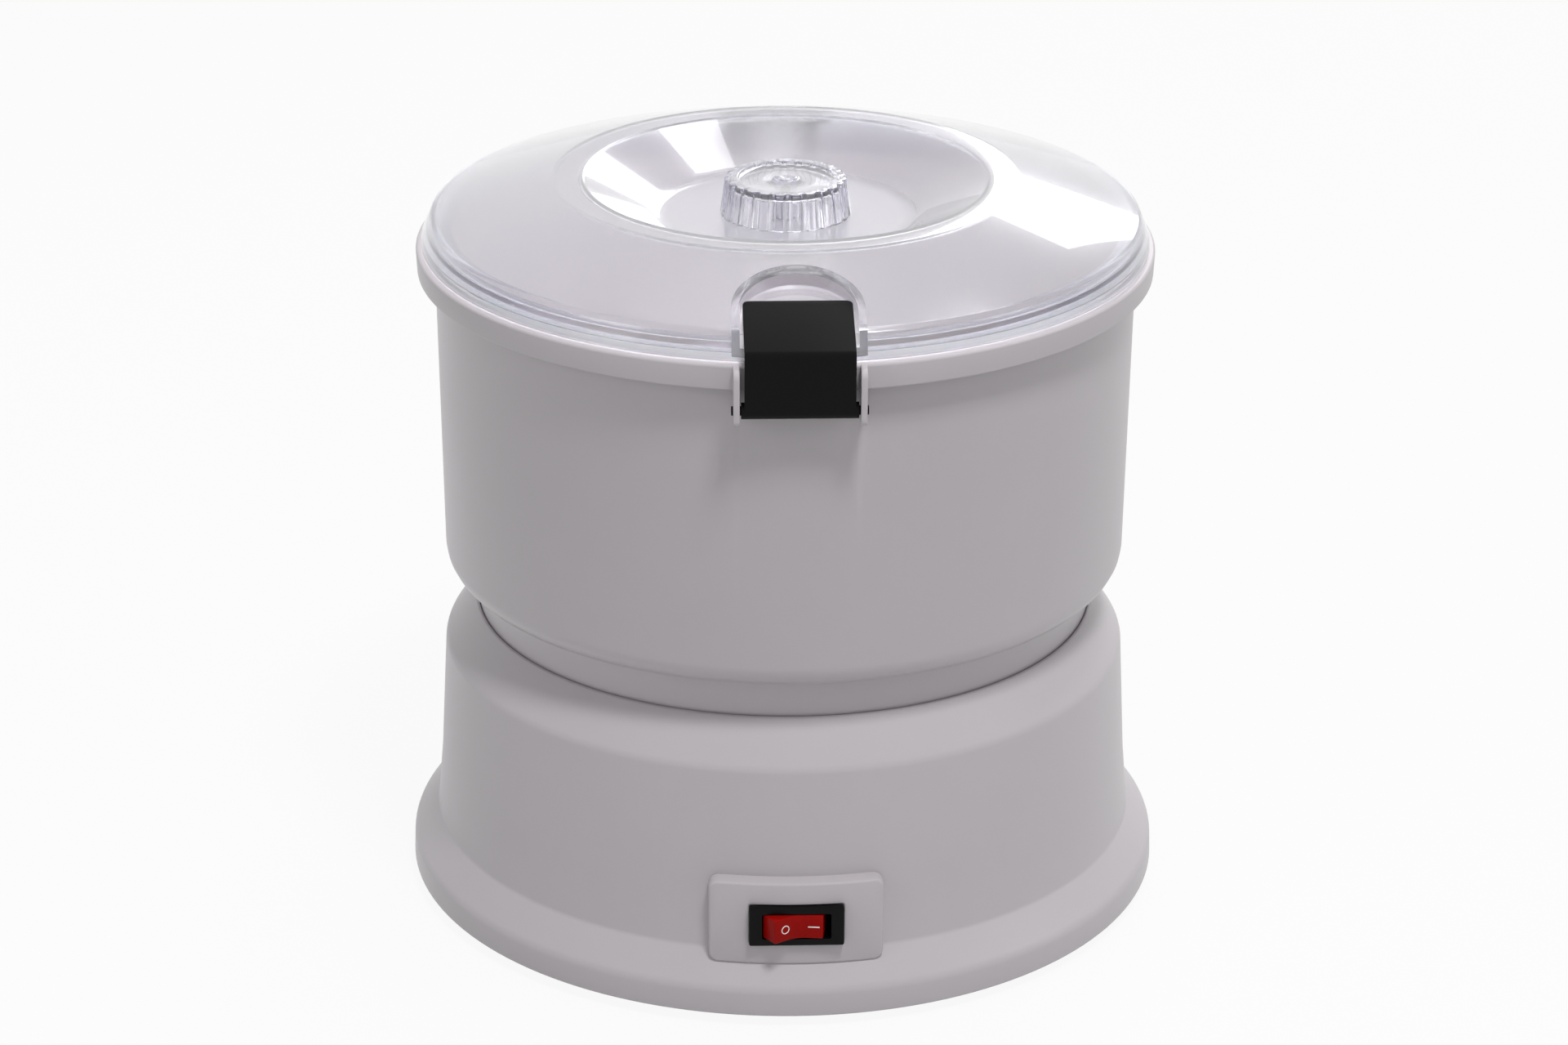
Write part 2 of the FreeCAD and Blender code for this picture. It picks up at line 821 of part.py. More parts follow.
def cord_grommet():
    """The rubber inlet in the rear wall, with two flanges and a bore for the cord."""
    wall = inlet_seat - inlet_inner_face
    flange = d.grommet_flange
    corners = [
        (d.cord_bore, 0),
        (d.cord_bore, 2 * flange + wall + d.seat_gap),
        (d.inlet_radius + 1, 2 * flange + wall + d.seat_gap),
        (d.inlet_radius + 1.5, flange + wall + d.seat_gap),
        (d.inlet_radius - d.fixed_gap, flange + wall + d.seat_gap),
        (d.inlet_radius - d.fixed_gap, flange),
        (d.grommet_flange_radius, flange),
        (d.grommet_flange_radius - 1, 0),
    ]
    body = revolved("grommet", corners)
    place(body, 0, inlet_seat + flange, d.inlet_height, (1, 0, 0), 90)
    piece("cord_grommet", body)


def terminal_block():
    """The block where the mains leads end, standing on the bottom plate."""
    x, y = d.block_x, d.block_y
    block = box(d.block_length, d.block_width, d.block_height, x, y, plate_top)
    wells = []
    for step in (-1, 0, 1):
        wells.append(cylinder(d.block_well_radius, d.block_height, x + step * d.block_length / 3.2, y,
                              plate_top + d.block_height / 2))
    piece("terminal_block", cut(block, *wells))


def gear_plate():
    """The steel plate that carries the gears above it and the motor below it."""
    plate = cylinder(d.gear_plate_radius, d.gear_plate_thickness, 0, 0, d.gear_plate_height)
    below = d.gear_plate_height - 1
    through = d.gear_plate_thickness + 2
    holes = [
        cylinder(d.lower_bush_radius - d.bush_step, through, 0, 0, below),
        cylinder(d.axle_radius + d.fixed_gap, through, idler_x, idler_y, below),
        cylinder(d.motor_bush_radius + 3, through, motor_x, motor_y, below),
    ]
    for angle in quarter_angles:
        x, y = on_circle(d.post_circle, angle)
        holes.append(cylinder(d.post_screw_radius + d.seat_gap, through, x, y, below))
    for side in (-1, 1):
        holes.append(cylinder(d.motor_screw_radius + d.fixed_gap, through,
                              motor_x, motor_y + side * d.motor_screw_offset, below))
    for angle in (0, 90, 270):
        x, y = on_circle(d.lightening_circle, angle)
        holes.append(cylinder(d.lightening_radius, through, x, y, below))
    piece("gear_plate", cut(plate, *holes))


def gear_plate_screws():
    """Four screws from below into the posts of the housing."""
    screws = []
    for angle in quarter_angles:
        x, y = on_circle(d.post_circle, angle)
        head = cylinder(d.post_screw_head_radius, d.post_screw_head_height,
                        x, y, d.gear_plate_height - d.post_screw_head_height)
        shank = cylinder(d.post_screw_radius, d.post_screw_length,
                         x, y, d.gear_plate_height - 0.5)
        screws.append(fuse(head, shank))
    piece("gear_plate_screws", group(screws))


def tooth_half_angle(radius, pitch_radius, base_radius, pitch_half):
    """Half of a tooth's angle at a radius, from the involute of its base circle."""
    def involute(at_radius):
        angle = math.acos(min(1.0, base_radius / at_radius))
        return math.tan(angle) - angle
    return pitch_half + involute(pitch_radius) - involute(max(radius, base_radius))


def gear_solid(teeth, module, width, bore, start_angle):
    """A spur gear with involute teeth, one of them centred on the start angle."""
    pitch_radius = teeth * module / 2
    base_radius = pitch_radius * math.cos(math.radians(PRESSURE_ANGLE))
    root_radius = pitch_radius - TOOTH_ROOT * module
    tip_radius = pitch_radius + TOOTH_TIP * module
    pitch_half = math.pi / teeth / 2 - SIZES["tooth_backlash"] / 4 / pitch_radius
    middle_radius = (max(root_radius, base_radius) + tip_radius) / 2
    points = []
    for tooth in range(int(teeth)):
        centre = math.radians(start_angle) + 2 * math.pi * tooth / teeth
        halves = [(radius, tooth_half_angle(radius, pitch_radius, base_radius, pitch_half))
                  for radius in (root_radius, middle_radius, tip_radius)]
        flank = [(radius, centre - half) for radius, half in halves]
        flank += [(radius, centre + half) for radius, half in reversed(halves)]
        points += [FreeCAD.Vector(radius * math.cos(turn), radius * math.sin(turn), 0)
                   for radius, turn in flank]
    points.append(points[0])
    face = Part.Face(Part.makePolygon(points))
    solid = face.extrude(FreeCAD.Vector(0, 0, width))
    hole = Part.makeCylinder(bore, width + 2, FreeCAD.Vector(0, 0, -1))
    return solid.cut(hole)


def tube_solid(outer, inner, height, z):
    """A plain tube about the Z axis."""
    start = FreeCAD.Vector(0, 0, z)
    return Part.makeCylinder(outer, height, start).cut(Part.makeCylinder(inner, height, start))


def shaped(name, shape, x, y, z):
    """A node whose shape is worked out here and placed by the spreadsheet."""
    thing = doc.addObject("Part::Feature", name)
    thing.Shape = shape
    place(thing, x, y, z)
    piece(name, thing)


def output_gear():
    """The large wheel on the spindle, with a long hub."""
    bore = (d.spindle_radius + d.fixed_gap).value
    bottom = (gear_plate_top + d.bush_flange + d.seat_gap).value
    top = (deck_underside - d.washer_space).value
    face = slow_wheel_height.value
    width = d.slow_wheel_width.value
    wheel = gear_solid(d.wheel_teeth.value, d.slow_module.value, width, bore,
                       d.idler_angle.value)
    wheel.translate(FreeCAD.Vector(0, 0, face - bottom))
    hub = tube_solid(d.slow_hub_radius.value, bore, top - bottom, 0)
    shaped("output_gear", wheel.fuse(hub).removeSplitter(), 0, 0, bottom)


def idler_gear():
    """The compound gear: a large wheel driven by the motor and a small one above it."""
    bore = (d.axle_radius + d.running_gap).value
    wheel_width = d.fast_wheel_width.value
    pinion_width = d.idler_pinion_width.value
    bottom = (gear_plate_top + d.seat_gap).value
    top = (deck_underside - d.axle_boss_drop - d.seat_gap).value
    half_pitch = 180 / d.pinion_teeth.value
    wheel = gear_solid(d.wheel_teeth.value, d.fast_module.value, wheel_width, bore,
                       d.motor_angle.value)
    pinion = gear_solid(d.pinion_teeth.value, d.slow_module.value, pinion_width, bore,
                        d.idler_angle.value + 180 + half_pitch)
    pinion.translate(FreeCAD.Vector(0, 0, wheel_width))
    sleeve_start = wheel_width + pinion_width
    sleeve = tube_solid(d.axle_radius.value + 2, bore, top - bottom - sleeve_start, sleeve_start)
    shape = wheel.fuse([pinion, sleeve]).removeSplitter()
    shaped("idler_gear", shape, idler_x, idler_y, bottom)


def motor_pinion():
    """The small gear on the motor shaft."""
    half_pitch = 180 / d.pinion_teeth.value
    shape = gear_solid(d.pinion_teeth.value, d.fast_module.value, d.motor_pinion_width.value,
                       (d.motor_shaft_radius + d.fixed_gap).value,
                       d.motor_angle.value + 180 + half_pitch)
    shaped("motor_pinion", shape, motor_x, motor_y, gear_plate_top + 1)


def spindle():
    """The drive spindle with its hexagon, the washer, the circlip, its bushes and the seal."""
    round_length = spindle_shoulder - spindle_bottom
    shaft = cylinder(d.spindle_radius, round_length, 0, 0, spindle_bottom)
    hexagon = doc.addObject("Part::Prism", "Hexagon")
    hexagon.Polygon = 6
    bind(hexagon, "Circumradius", d.hex_flats / 2 / cosine(30))
    bind(hexagon, "Height", d.hex_length + 1)
    place(hexagon, 0, 0, spindle_shoulder - 1)
    groove_bottom = d.gear_plate_height - d.bush_step - d.circlip_thickness
    groove = ring(d.spindle_radius + 1, d.spindle_radius - d.circlip_groove,
                  d.circlip_thickness, 0, 0, groove_bottom)
    piece("drive_spindle", cut(fuse(shaft, hexagon), groove))
    clip = ring(d.circlip_radius, d.spindle_radius - d.circlip_groove + d.fixed_gap,
                d.circlip_thickness, 0, 0, groove_bottom)
    mouth = box(d.circlip_radius * 2, 4, d.circlip_thickness + 2,
                d.circlip_radius, 0, groove_bottom - 1)
    piece("spindle_circlip", cut(clip, mouth))
    washer_top = deck_underside - d.seat_gap
    piece("thrust_washer", ring(d.spindle_radius + 4, d.spindle_radius + d.fixed_gap,
                                washer_top - (deck_underside - d.washer_space),
                                0, 0, deck_underside - d.washer_space))
    bore = d.spindle_radius + d.running_gap
    flange_bottom = gear_plate_top
    corners = [
        (bore, d.gear_plate_height - d.bush_step),
        (d.lower_bush_radius - d.bush_step - d.fixed_gap, d.gear_plate_height - d.bush_step),
        (d.lower_bush_radius - d.bush_step - d.fixed_gap, flange_bottom),
        (d.lower_bush_radius, flange_bottom),
        (d.lower_bush_radius, flange_bottom + d.bush_flange),
        (bore, flange_bottom + d.bush_flange),
    ]
    piece("lower_bush", revolved("lower_bush_body", corners))
    bush_outer = d.tower_bore - d.fixed_gap
    bush_top = tower_top - d.seal_height
    piece("upper_bush", ring(bush_outer, bore, bush_top - deck_underside, 0, 0, deck_underside))
    piece("shaft_seal", ring(bush_outer, bore, d.seal_height, 0, 0, bush_top))


def idler_axle():
    """The steel pin that the compound gear turns on."""
    bottom = d.gear_plate_height
    top = deck_underside - 1
    piece("idler_axle", cylinder(d.axle_radius, top - bottom, idler_x, idler_y, bottom))


def stator():
    """The motor's core, its shading rings, the bobbin and the coil on its limb."""
    bore = d.rotor_radius + d.air_gap
    middle_x = motor_x - d.core_back + d.core_length / 2
    block = box(d.core_length, d.core_width, d.core_stack, middle_x, motor_y, d.core_bottom)
    limb_x = motor_x - d.core_back + d.core_length - d.limb_width / 2
    window_x = limb_x - d.limb_width / 2 - d.window_length / 2
    below = d.core_bottom - 1
    tall = d.core_stack + 2
    holes = [
        cylinder(bore, tall, motor_x, motor_y, below),
        box(d.window_length, d.window_width, tall, window_x, motor_y, below),
    ]
    ring_spots = [(-1, 1), (1, -1)]
    slot = d.shading_slot
    reaches = (d.shading_inner, d.shading_outer)
    for side_x, side_y in ring_spots:
        x = motor_x + side_x * d.shading_offset
        for reach in reaches:
            holes.append(box(slot, slot, tall, x, motor_y + side_y * reach, below))
    for side in (-1, 1):
        holes.append(cylinder(d.motor_screw_radius + d.fixed_gap, tall,
                              motor_x, motor_y + side * d.motor_screw_offset, below))
    piece("stator_core", cut(block, *holes))
    rings = []
    wire = slot - d.shading_play
    bar_length = d.shading_outer - d.shading_inner + wire
    bar_middle = (d.shading_inner + d.shading_outer) / 2
    for side_x, side_y in ring_spots:
        x = motor_x + side_x * d.shading_offset
        parts = [box(wire, wire, d.core_stack + 2, x, motor_y + side_y * reach,
                     d.core_bottom - 1) for reach in reaches]
        for z in (d.core_bottom - 1 - wire, core_top + 1):
            parts.append(box(wire, bar_length, wire, x, motor_y + side_y * bar_middle, z))
        rings.append(fuse(*parts))
    piece("shading_rings", group(rings))
    limb_gap = 0.2
    wall = d.bobbin_wall
    inner_x = d.limb_width + 2 * limb_gap
    inner_z = d.core_stack + 2 * limb_gap
    tube_x = inner_x + 2 * wall
    tube_z = inner_z + 2 * wall
    length = d.window_width - 2 * limb_gap
    centre_z = d.core_bottom + d.core_stack / 2
    sleeve = box(tube_x, length, tube_z, limb_x, motor_y, centre_z - tube_z / 2)
    flange_x = tube_x + 2 * d.bobbin_flange
    flange_z = tube_z + 2 * d.bobbin_flange
    flanges = []
    for side in (-1, 1):
        flanges.append(box(flange_x, wall, flange_z, limb_x,
                           motor_y + side * (length - wall) / 2, centre_z - flange_z / 2))
    passage = box(inner_x, length + 2, inner_z, limb_x, motor_y, centre_z - inner_z / 2)
    piece("coil_bobbin", cut(fuse(sleeve, *flanges), passage))
    coil_x = tube_x + 2 * d.coil_depth
    coil_z = tube_z + 2 * d.coil_depth
    coil_length = length - 2 * wall
    coil_block = box(coil_x, coil_length, coil_z, limb_x, motor_y, centre_z - coil_z / 2)
    soft = rounded(coil_block, d.coil_corner, runs_along_y)
    core_hole = box(tube_x, coil_length + 2, tube_z, limb_x, motor_y, centre_z - tube_z / 2)
    piece("stator_coil", cut(soft, core_hole))


def motor_brackets():
    """The two bridges that hold the rotor's bushes, the bushes, the spacers and the screws."""
    thick = d.bracket_thickness
    leg_offset = (d.motor_screw_offset - d.motor_screw_head_radius - d.seat_gap - thick / 2)
    foot_end = d.motor_screw_offset + d.bracket_foot_reach
    foot_inner = leg_offset - thick / 2
    hole = d.motor_bush_radius
    bush_bore = d.motor_shaft_radius + d.running_gap
    middle = d.motor_bush_length / 2
    for name, foot, direction in (("upper", core_top, 1), ("lower", d.core_bottom, -1)):
        crown = foot + direction * (d.bracket_arch + thick / 2)
        leg = d.bracket_arch + thick
        leg_start = foot if direction > 0 else foot - leg
        foot_start = foot if direction > 0 else foot - thick
        bridge = box(d.bracket_width, 2 * leg_offset, thick, motor_x, motor_y, crown - thick / 2)
        parts = [bridge]
        for side in (-1, 1):
            parts.append(box(d.bracket_width, thick, leg, motor_x,
                             motor_y + side * leg_offset, leg_start))
            parts.append(box(d.bracket_width, foot_end - foot_inner, thick, motor_x,
                             motor_y + side * (foot_end + foot_inner) / 2, foot_start))
        holes = [cylinder(hole, thick + 2, motor_x, motor_y, crown - thick / 2 - 1)]
        for side in (-1, 1):
            holes.append(cylinder(d.motor_screw_radius + d.fixed_gap, thick + 2, motor_x,
                                  motor_y + side * d.motor_screw_offset, foot_start - 1))
        piece(f"{name}_motor_bracket", cut(fuse(*parts), *holes))
        piece(f"{name}_motor_bush", ring(hole - d.fixed_gap, bush_bore, d.motor_bush_length,
                                         motor_x, motor_y, crown - middle))
    spacers = []
    screws = []
    spacer_bottom = core_top + thick
    screw_bottom = d.core_bottom - thick
    for side in (-1, 1):
        y = motor_y + side * d.motor_screw_offset
        spacers.append(ring(d.spacer_radius, d.motor_screw_radius + d.fixed_gap,
                            d.gear_plate_height - spacer_bottom, motor_x, y, spacer_bottom))
        shank = cylinder(d.motor_screw_radius, gear_plate_top - screw_bottom,
                         motor_x, y, screw_bottom)
        head = cylinder(d.motor_screw_head_radius, d.motor_screw_head_height,
                        motor_x, y, screw_bottom - d.motor_screw_head_height)
        screws.append(fuse(shank, head))
    piece("motor_spacers", group(spacers))
    piece("motor_screws", group(screws))


def rotor():
    """The rotor on its shaft, with the cooling fan below."""
    shaft_top = gear_plate_top + 1 + d.motor_pinion_width
    piece("motor_shaft", cylinder(d.motor_shaft_radius, shaft_top - d.fan_bottom,
                                  motor_x, motor_y, d.fan_bottom))
    rotor_bottom = d.core_bottom + (d.core_stack - d.rotor_length) / 2
    bore = d.motor_shaft_radius + d.fixed_gap
    piece("rotor_core", ring(d.rotor_radius, bore, d.rotor_length,
                             motor_x, motor_y, rotor_bottom))
    disc = cylinder(d.fan_radius, d.fan_plate, 0, 0, 0)
    hub = cylinder(bore + 3, d.fan_height, 0, 0, 0)
    blades = []
    count = int(d.fan_blades.value)
    reach = d.fan_radius - bore - 2
    for number in range(count):
        blades.append(turned_box(reach, d.fan_plate, d.fan_height, bore + 2 + reach / 2, 0,
                                 360 * number / count))
    hole = cylinder(bore, d.fan_height + 2, 0, 0, -1)
    fan = cut(fuse(disc, hub, *blades), hole)
    place(fan, motor_x, motor_y, d.fan_bottom)
    piece("cooling_fan", fan)


def drum_shell():
    """The drum: bowl, rolled rim band, collar, centre tube, lug sockets, ribs and ears."""
    wall = d.drum_wall
    band_bottom = drum_top_height - d.band_height
    flange_bottom = drum_top_height - d.band_wall
    corners = [
        (collar_foot_radius, deck_top),
        (collar_top_radius, drum_floor_height),
        (d.drum_foot_radius, drum_floor_height),
        (d.drum_neck_radius, flange_bottom),
        (band_radius - d.band_draft - d.band_wall, flange_bottom),
        (band_radius - d.band_draft - d.band_wall, band_bottom),
        (band_radius - d.band_draft, band_bottom),
        (band_radius, drum_top_height),
        (d.drum_neck_radius - wall, drum_top_height),
        (d.drum_foot_radius - wall, drum_floor_top),
        (d.tube_radius, drum_floor_top),
        (d.tube_radius, tube_top),
        (d.tube_bore, tube_top),
        (d.tube_bore, drum_floor_height),
        (collar_top_radius - wall, drum_floor_height),
        (collar_foot_radius - wall, deck_top),
    ]
    bowl = revolved("bowl", corners)
    body_rounded(bowl, d.drum_corner, [(d.drum_foot_radius, drum_floor_height)])
    body_rounded(bowl, d.drum_corner - 1, [(d.drum_foot_radius - wall, drum_floor_top)])
    body_rounded(bowl, d.band_rounding, [(band_radius, drum_top_height)])
    parts = [bowl]
    holes = []
    for angle in lug_angles:
        gap = 2 * d.seat_gap
        around = 2 * d.socket_wall
        bottom = deck_top + d.deck_drop
        parts.append(turned_box(d.lug_depth + gap + around, d.lug_width + gap + around,
                                drum_floor_height + 1 - bottom, d.lug_circle, bottom, angle))
        holes.append(turned_box(d.lug_depth + gap, d.lug_width + gap,
                                d.lug_height + d.seat_gap - d.deck_drop + 1,
                                d.lug_circle, bottom - 1, angle))
    rib_radius = d.drum_foot_radius - wall
    rib_radial = d.rib_depth + wall / 2
    for number in range(int(d.rib_count.value)):
        angle = 360 * number / d.rib_count.value
        parts.append(turned_box(rib_radial, d.rib_width, d.rib_height,
                                rib_radius - d.rib_depth + rib_radial / 2, rib_bottom, angle))
    ear_top = drum_top_height
    ear_start = d.drum_neck_radius - d.drum_wall
    depth = ear_reach - ear_start
    for facing in (-1, 1):
        for side in (-1, 1):
            x = side * (ear_gap + d.ear_thickness) / 2
            y = facing * (ear_start + depth / 2)
            plate = box(d.ear_thickness, depth, ear_top - ear_bottom, x, y, ear_bottom)

            def outer_corner(edge, facing=facing):
                start, end = edge.Vertexes[0].Point, edge.Vertexes[1].Point
                outside = start.y * facing > ear_reach.value - 0.1
                return outside and abs(start.x - end.x) > 1

            parts.append(rounded(plate, d.ear_corner, outer_corner))
        holes.append(cross_cylinder(d.latch_pin_radius + d.running_gap, 2 * ear_gap,
                                    facing * pivot_radius, latch_pivot_height))
    piece("drum_shell", cut(fuse(*parts), *holes))


def latches():
    """The two black latches and their pins, front and rear."""
    face = latch_face
    inside = face - d.latch_thickness
    bend = latch_bend_height
    slope = tangent(d.latch_slope)
    corners = [
        (inside, latch_pivot_height),
        (face, latch_pivot_height),
        (face, bend),
        (latch_tip, latch_tip_height),
        (latch_tip, latch_tip_height - latch_drop),
        (inside, bend + d.latch_thickness * slope - latch_drop),
    ]
    for name, turn in (("front", 180), ("rear", 0)):
        plate = padded(f"{name}_plate", "YZ_Plane", corners, d.latch_width)

        def bend_edge(edge):
            start, end = edge.Vertexes[0].Point, edge.Vertexes[1].Point
            along = abs(start.x - end.x) > 10
            return along and abs(start.z - bend.value) < 0.01 and start.y > face.value - 0.1

        def tip_edge(edge):
            start, end = edge.Vertexes[0].Point, edge.Vertexes[1].Point
            upright = abs(start.z - end.z) > 1
            return upright and start.y < latch_tip.value + 0.1 and abs(start.x - end.x) < 1

        bent = rounded(plate, d.latch_bend_rounding, bend_edge)
        soft = rounded(bent, d.latch_corner, tip_edge)
        barrel = cross_cylinder(d.barrel_radius, barrel_width,
                                pivot_radius, latch_pivot_height)
        hole = cross_cylinder(d.latch_pin_radius + d.fixed_gap, barrel_width + 2,
                              pivot_radius, latch_pivot_height)
        latch = cut(fuse(soft, barrel), hole)
        pin = cross_cylinder(d.latch_pin_radius, latch_pin_length,
                             pivot_radius, latch_pivot_height)
        if turn:
            place(latch, 0, 0, 0, (0, 0, 1), turn)
            place(pin, latch_pin_length / -2, -pivot_radius, latch_pivot_height,
                  (0, 1, 0), 90)
        piece(f"{name}_latch", latch)
        piece(f"{name}_latch_pin", pin)


def arch_block(name, half_width, reach):
    """An upright block with a half-round inner end, for the latch pocket on the +Y side."""
    body = doc.addObject("PartDesign::Body", name)
    sketch = sketch_on(body, "XY_Plane", name + "_outline")
    half = half_width.value
    centre = pocket_centre.value
    end = reach.value
    middle = FreeCAD.Vector(0, centre, 0)
    circle = Part.Circle(middle, FreeCAD.Vector(0, 0, 1), half)
    sketch.addGeometry(Part.ArcOfCircle(circle, math.pi, 2 * math.pi), False)
    right = FreeCAD.Vector(half, centre, 0)
    left = FreeCAD.Vector(-half, centre, 0)
    far_right = FreeCAD.Vector(half, end, 0)
    far_left = FreeCAD.Vector(-half, end, 0)
    for start, finish in ((right, far_right), (far_right, far_left), (far_left, left)):
        sketch.addGeometry(Part.LineSegment(start, finish), False)
    joins = [(0, 2, 1, 1), (1, 2, 2, 1), (2, 2, 3, 1), (3, 2, 0, 1)]
    for first, first_end, second, second_end in joins:
        sketch.addConstraint(Sketcher.Constraint("Coincident", first, first_end,
                                                 second, second_end))
    fix_point(sketch, 1, 1, half_width, pocket_centre)
    fix_point(sketch, 2, 1, half_width, reach)
    fix_point(sketch, 3, 1, -half_width, reach)
    fix_point(sketch, 3, 2, -half_width, pocket_centre)
    level = Sketcher.Constraint("DistanceY", -1, 1, 0, 3, centre)
    index = sketch.addConstraint(level)
    sketch.setExpression(f"Constraints[{index}]", pocket_centre.text)
    pad = body.newObject("PartDesign::Pad", name + "_pad")
    pad.Profile = sketch
    bind(pad, "Length", lid_top_height + 10 - drum_top_height)
    place(body, 0, 0, drum_top_height)
    return body


def below_pocket_floor(name, drop):
    """A wedge that fills everything below the pocket floor, or below its underside."""
    slope = tangent(d.latch_slope)
    near = pocket_centre - pocket_width
    far = skirt_radius + 10
    floor_at_tip = latch_tip_height - latch_drop - d.seat_gap
    corners = [
        (near, drum_top_height - 10),
        (far, drum_top_height - 10),
        (far, floor_at_tip - drop - (far - latch_tip) * slope),
        (near, floor_at_tip - drop + (latch_tip - near) * slope),
    ]
    return padded(name, "YZ_Plane", corners, pocket_width * 2)


def lid_shell():
    """The clear lid: flat ring, sunk dish, sloping cone, skirt, inner lip and latch pockets."""
    wall = d.lid_wall
    lip_bottom = lid_bottom - d.lip_depth
    inner_lip = lip_radius - d.lip_thickness
    outer_corners = [
        (0, dish_floor_height),
        (d.dish_floor_radius, dish_floor_height),
        (d.ring_inner_radius, lid_top_height),
        (d.ring_outer_radius, lid_top_height),
        (cone_radius, cone_height),
        (skirt_radius, skirt_edge_height),
        (skirt_radius, lid_bottom),
        (lip_radius, lid_bottom),
        (lip_radius, lip_bottom),
        (0, lip_bottom),
    ]
    outer = revolved("lid_outside", outer_corners)
    body_rounded(outer, d.lid_rounding, [(d.ring_inner_radius, lid_top_height),
                                         (d.ring_outer_radius, lid_top_height)])
    cavity_corners = [
        (0, dish_floor_height - wall),
        (d.dish_floor_radius + wall / 2, dish_floor_height - wall),
        (d.ring_inner_radius + wall / 2, lid_top_height - wall),
        (d.ring_outer_radius - wall / 4, lid_top_height - wall),
        (cone_radius - wall, cone_height - wall * 0.8),
        (cone_radius - wall / 2, seal_top + wall),
        (inner_lip, seal_top + wall),
        (inner_lip, lip_bottom - 1),
        (0, lip_bottom - 1),
    ]
    cavity = revolved("lid_inside", cavity_corners)
    seal_outer = seal_inner_radius + d.seal_width
    groove = ring(seal_outer + d.seat_gap, seal_inner_radius - d.seat_gap,
                  seal_top - lid_bottom + 1, 0, 0, lid_bottom - 1)
    shell = cut(outer, cavity, groove)
    reach = skirt_radius + 5
    block = cut(arch_block("pocket_outside", pocket_width / 2 + d.pocket_wall, reach),
                below_pocket_floor("pocket_underside", d.lid_wall))
    rear_block = common(block, outer)
    hollow = cut(arch_block("pocket_inside", pocket_width / 2, reach + 5),
                 below_pocket_floor("pocket_floor", 0))
    front_block = doc.addObject("Part::Compound", "FrontBlock")
    front_block.Links = [rear_block]
    place(front_block, 0, 0, 0, (0, 0, 1), 180)
    front_hollow = doc.addObject("Part::Compound", "FrontHollow")
    front_hollow.Links = [hollow]
    place(front_hollow, 0, 0, 0, (0, 0, 1), 180)
    screw_hole = cylinder(d.knob_screw_radius + d.seat_gap, 10, 0, 0, dish_floor_height - 5)
    solid = fuse(shell, rear_block, front_block)
    piece("lid_shell", cut(solid, hollow, front_hollow, screw_hole))
    piece("lid_seal", ring(seal_outer, seal_inner_radius, d.seal_rise,
                           0, 0, drum_top_height))


def lid_knob():
    """The hollow fluted knob in the dish, with its centre boss."""
    wall = d.knob_wall
    floor = dish_floor_height
    bore = d.knob_screw_radius + d.fixed_gap
    recess_floor = knob_top_height - d.knob_recess
    corners = [
        (d.knob_foot_radius, floor),
        (d.knob_top_radius, knob_top_height),
        (d.knob_recess_radius, knob_top_height),
        (d.knob_recess_radius, recess_floor),
        (0, recess_floor),
        (0, floor + d.knob_screw_length),
        (bore, floor + d.knob_screw_length),
        (bore, floor),
        (d.knob_boss_radius, floor),
        (d.knob_boss_radius, recess_floor - wall),
        (d.knob_top_radius - wall, recess_floor - wall),
        (d.knob_foot_radius - wall, floor),
    ]
    body = revolved("knob", corners)
    sketch = sketch_on(body, "XY_Plane", "flute_outline")
    centre = FreeCAD.Vector(d.flute_centre.value, 0, 0)
    sketch.addGeometry(Part.Circle(centre, FreeCAD.Vector(0, 0, 1), d.flute_radius.value), False)
    fix_point(sketch, 0, 3, d.flute_centre, 0)
    index = sketch.addConstraint(Sketcher.Constraint("Radius", 0, d.flute_radius.value))
    sketch.setExpression(f"Constraints[{index}]", d.flute_radius.text)
    doc.recompute()
    whole = body.Shape.Volume
    pocket = body.newObject("PartDesign::Pocket", "flute")
    pocket.Profile = sketch
    pocket.Type = "Length"
    pocket.Reversed = True
    bind(pocket, "Length", lid_top_height + 10)
    doc.recompute()
    if pocket.Shape.Volume >= whole:
        raise ValueError("the flute cuts nothing")
    pattern = body.newObject("PartDesign::PolarPattern", "flutes")
    pattern.Originals = [pocket]
    pattern.Axis = (sketch, ["N_Axis"])
    pattern.Angle = 360
    bind(pattern, "Occurrences", d.flute_count)
    body.Tip = pattern
    piece("lid_knob", body)
    head_top = floor - d.lid_wall
    head = cylinder(d.screw_head_radius, d.screw_head_height, 0, 0,
                    head_top - d.screw_head_height)
    shank = cylinder(d.knob_screw_radius, d.knob_screw_length + d.lid_wall,
                     0, 0, head_top - 0.5)
    piece("knob_screw", fuse(head, shank))


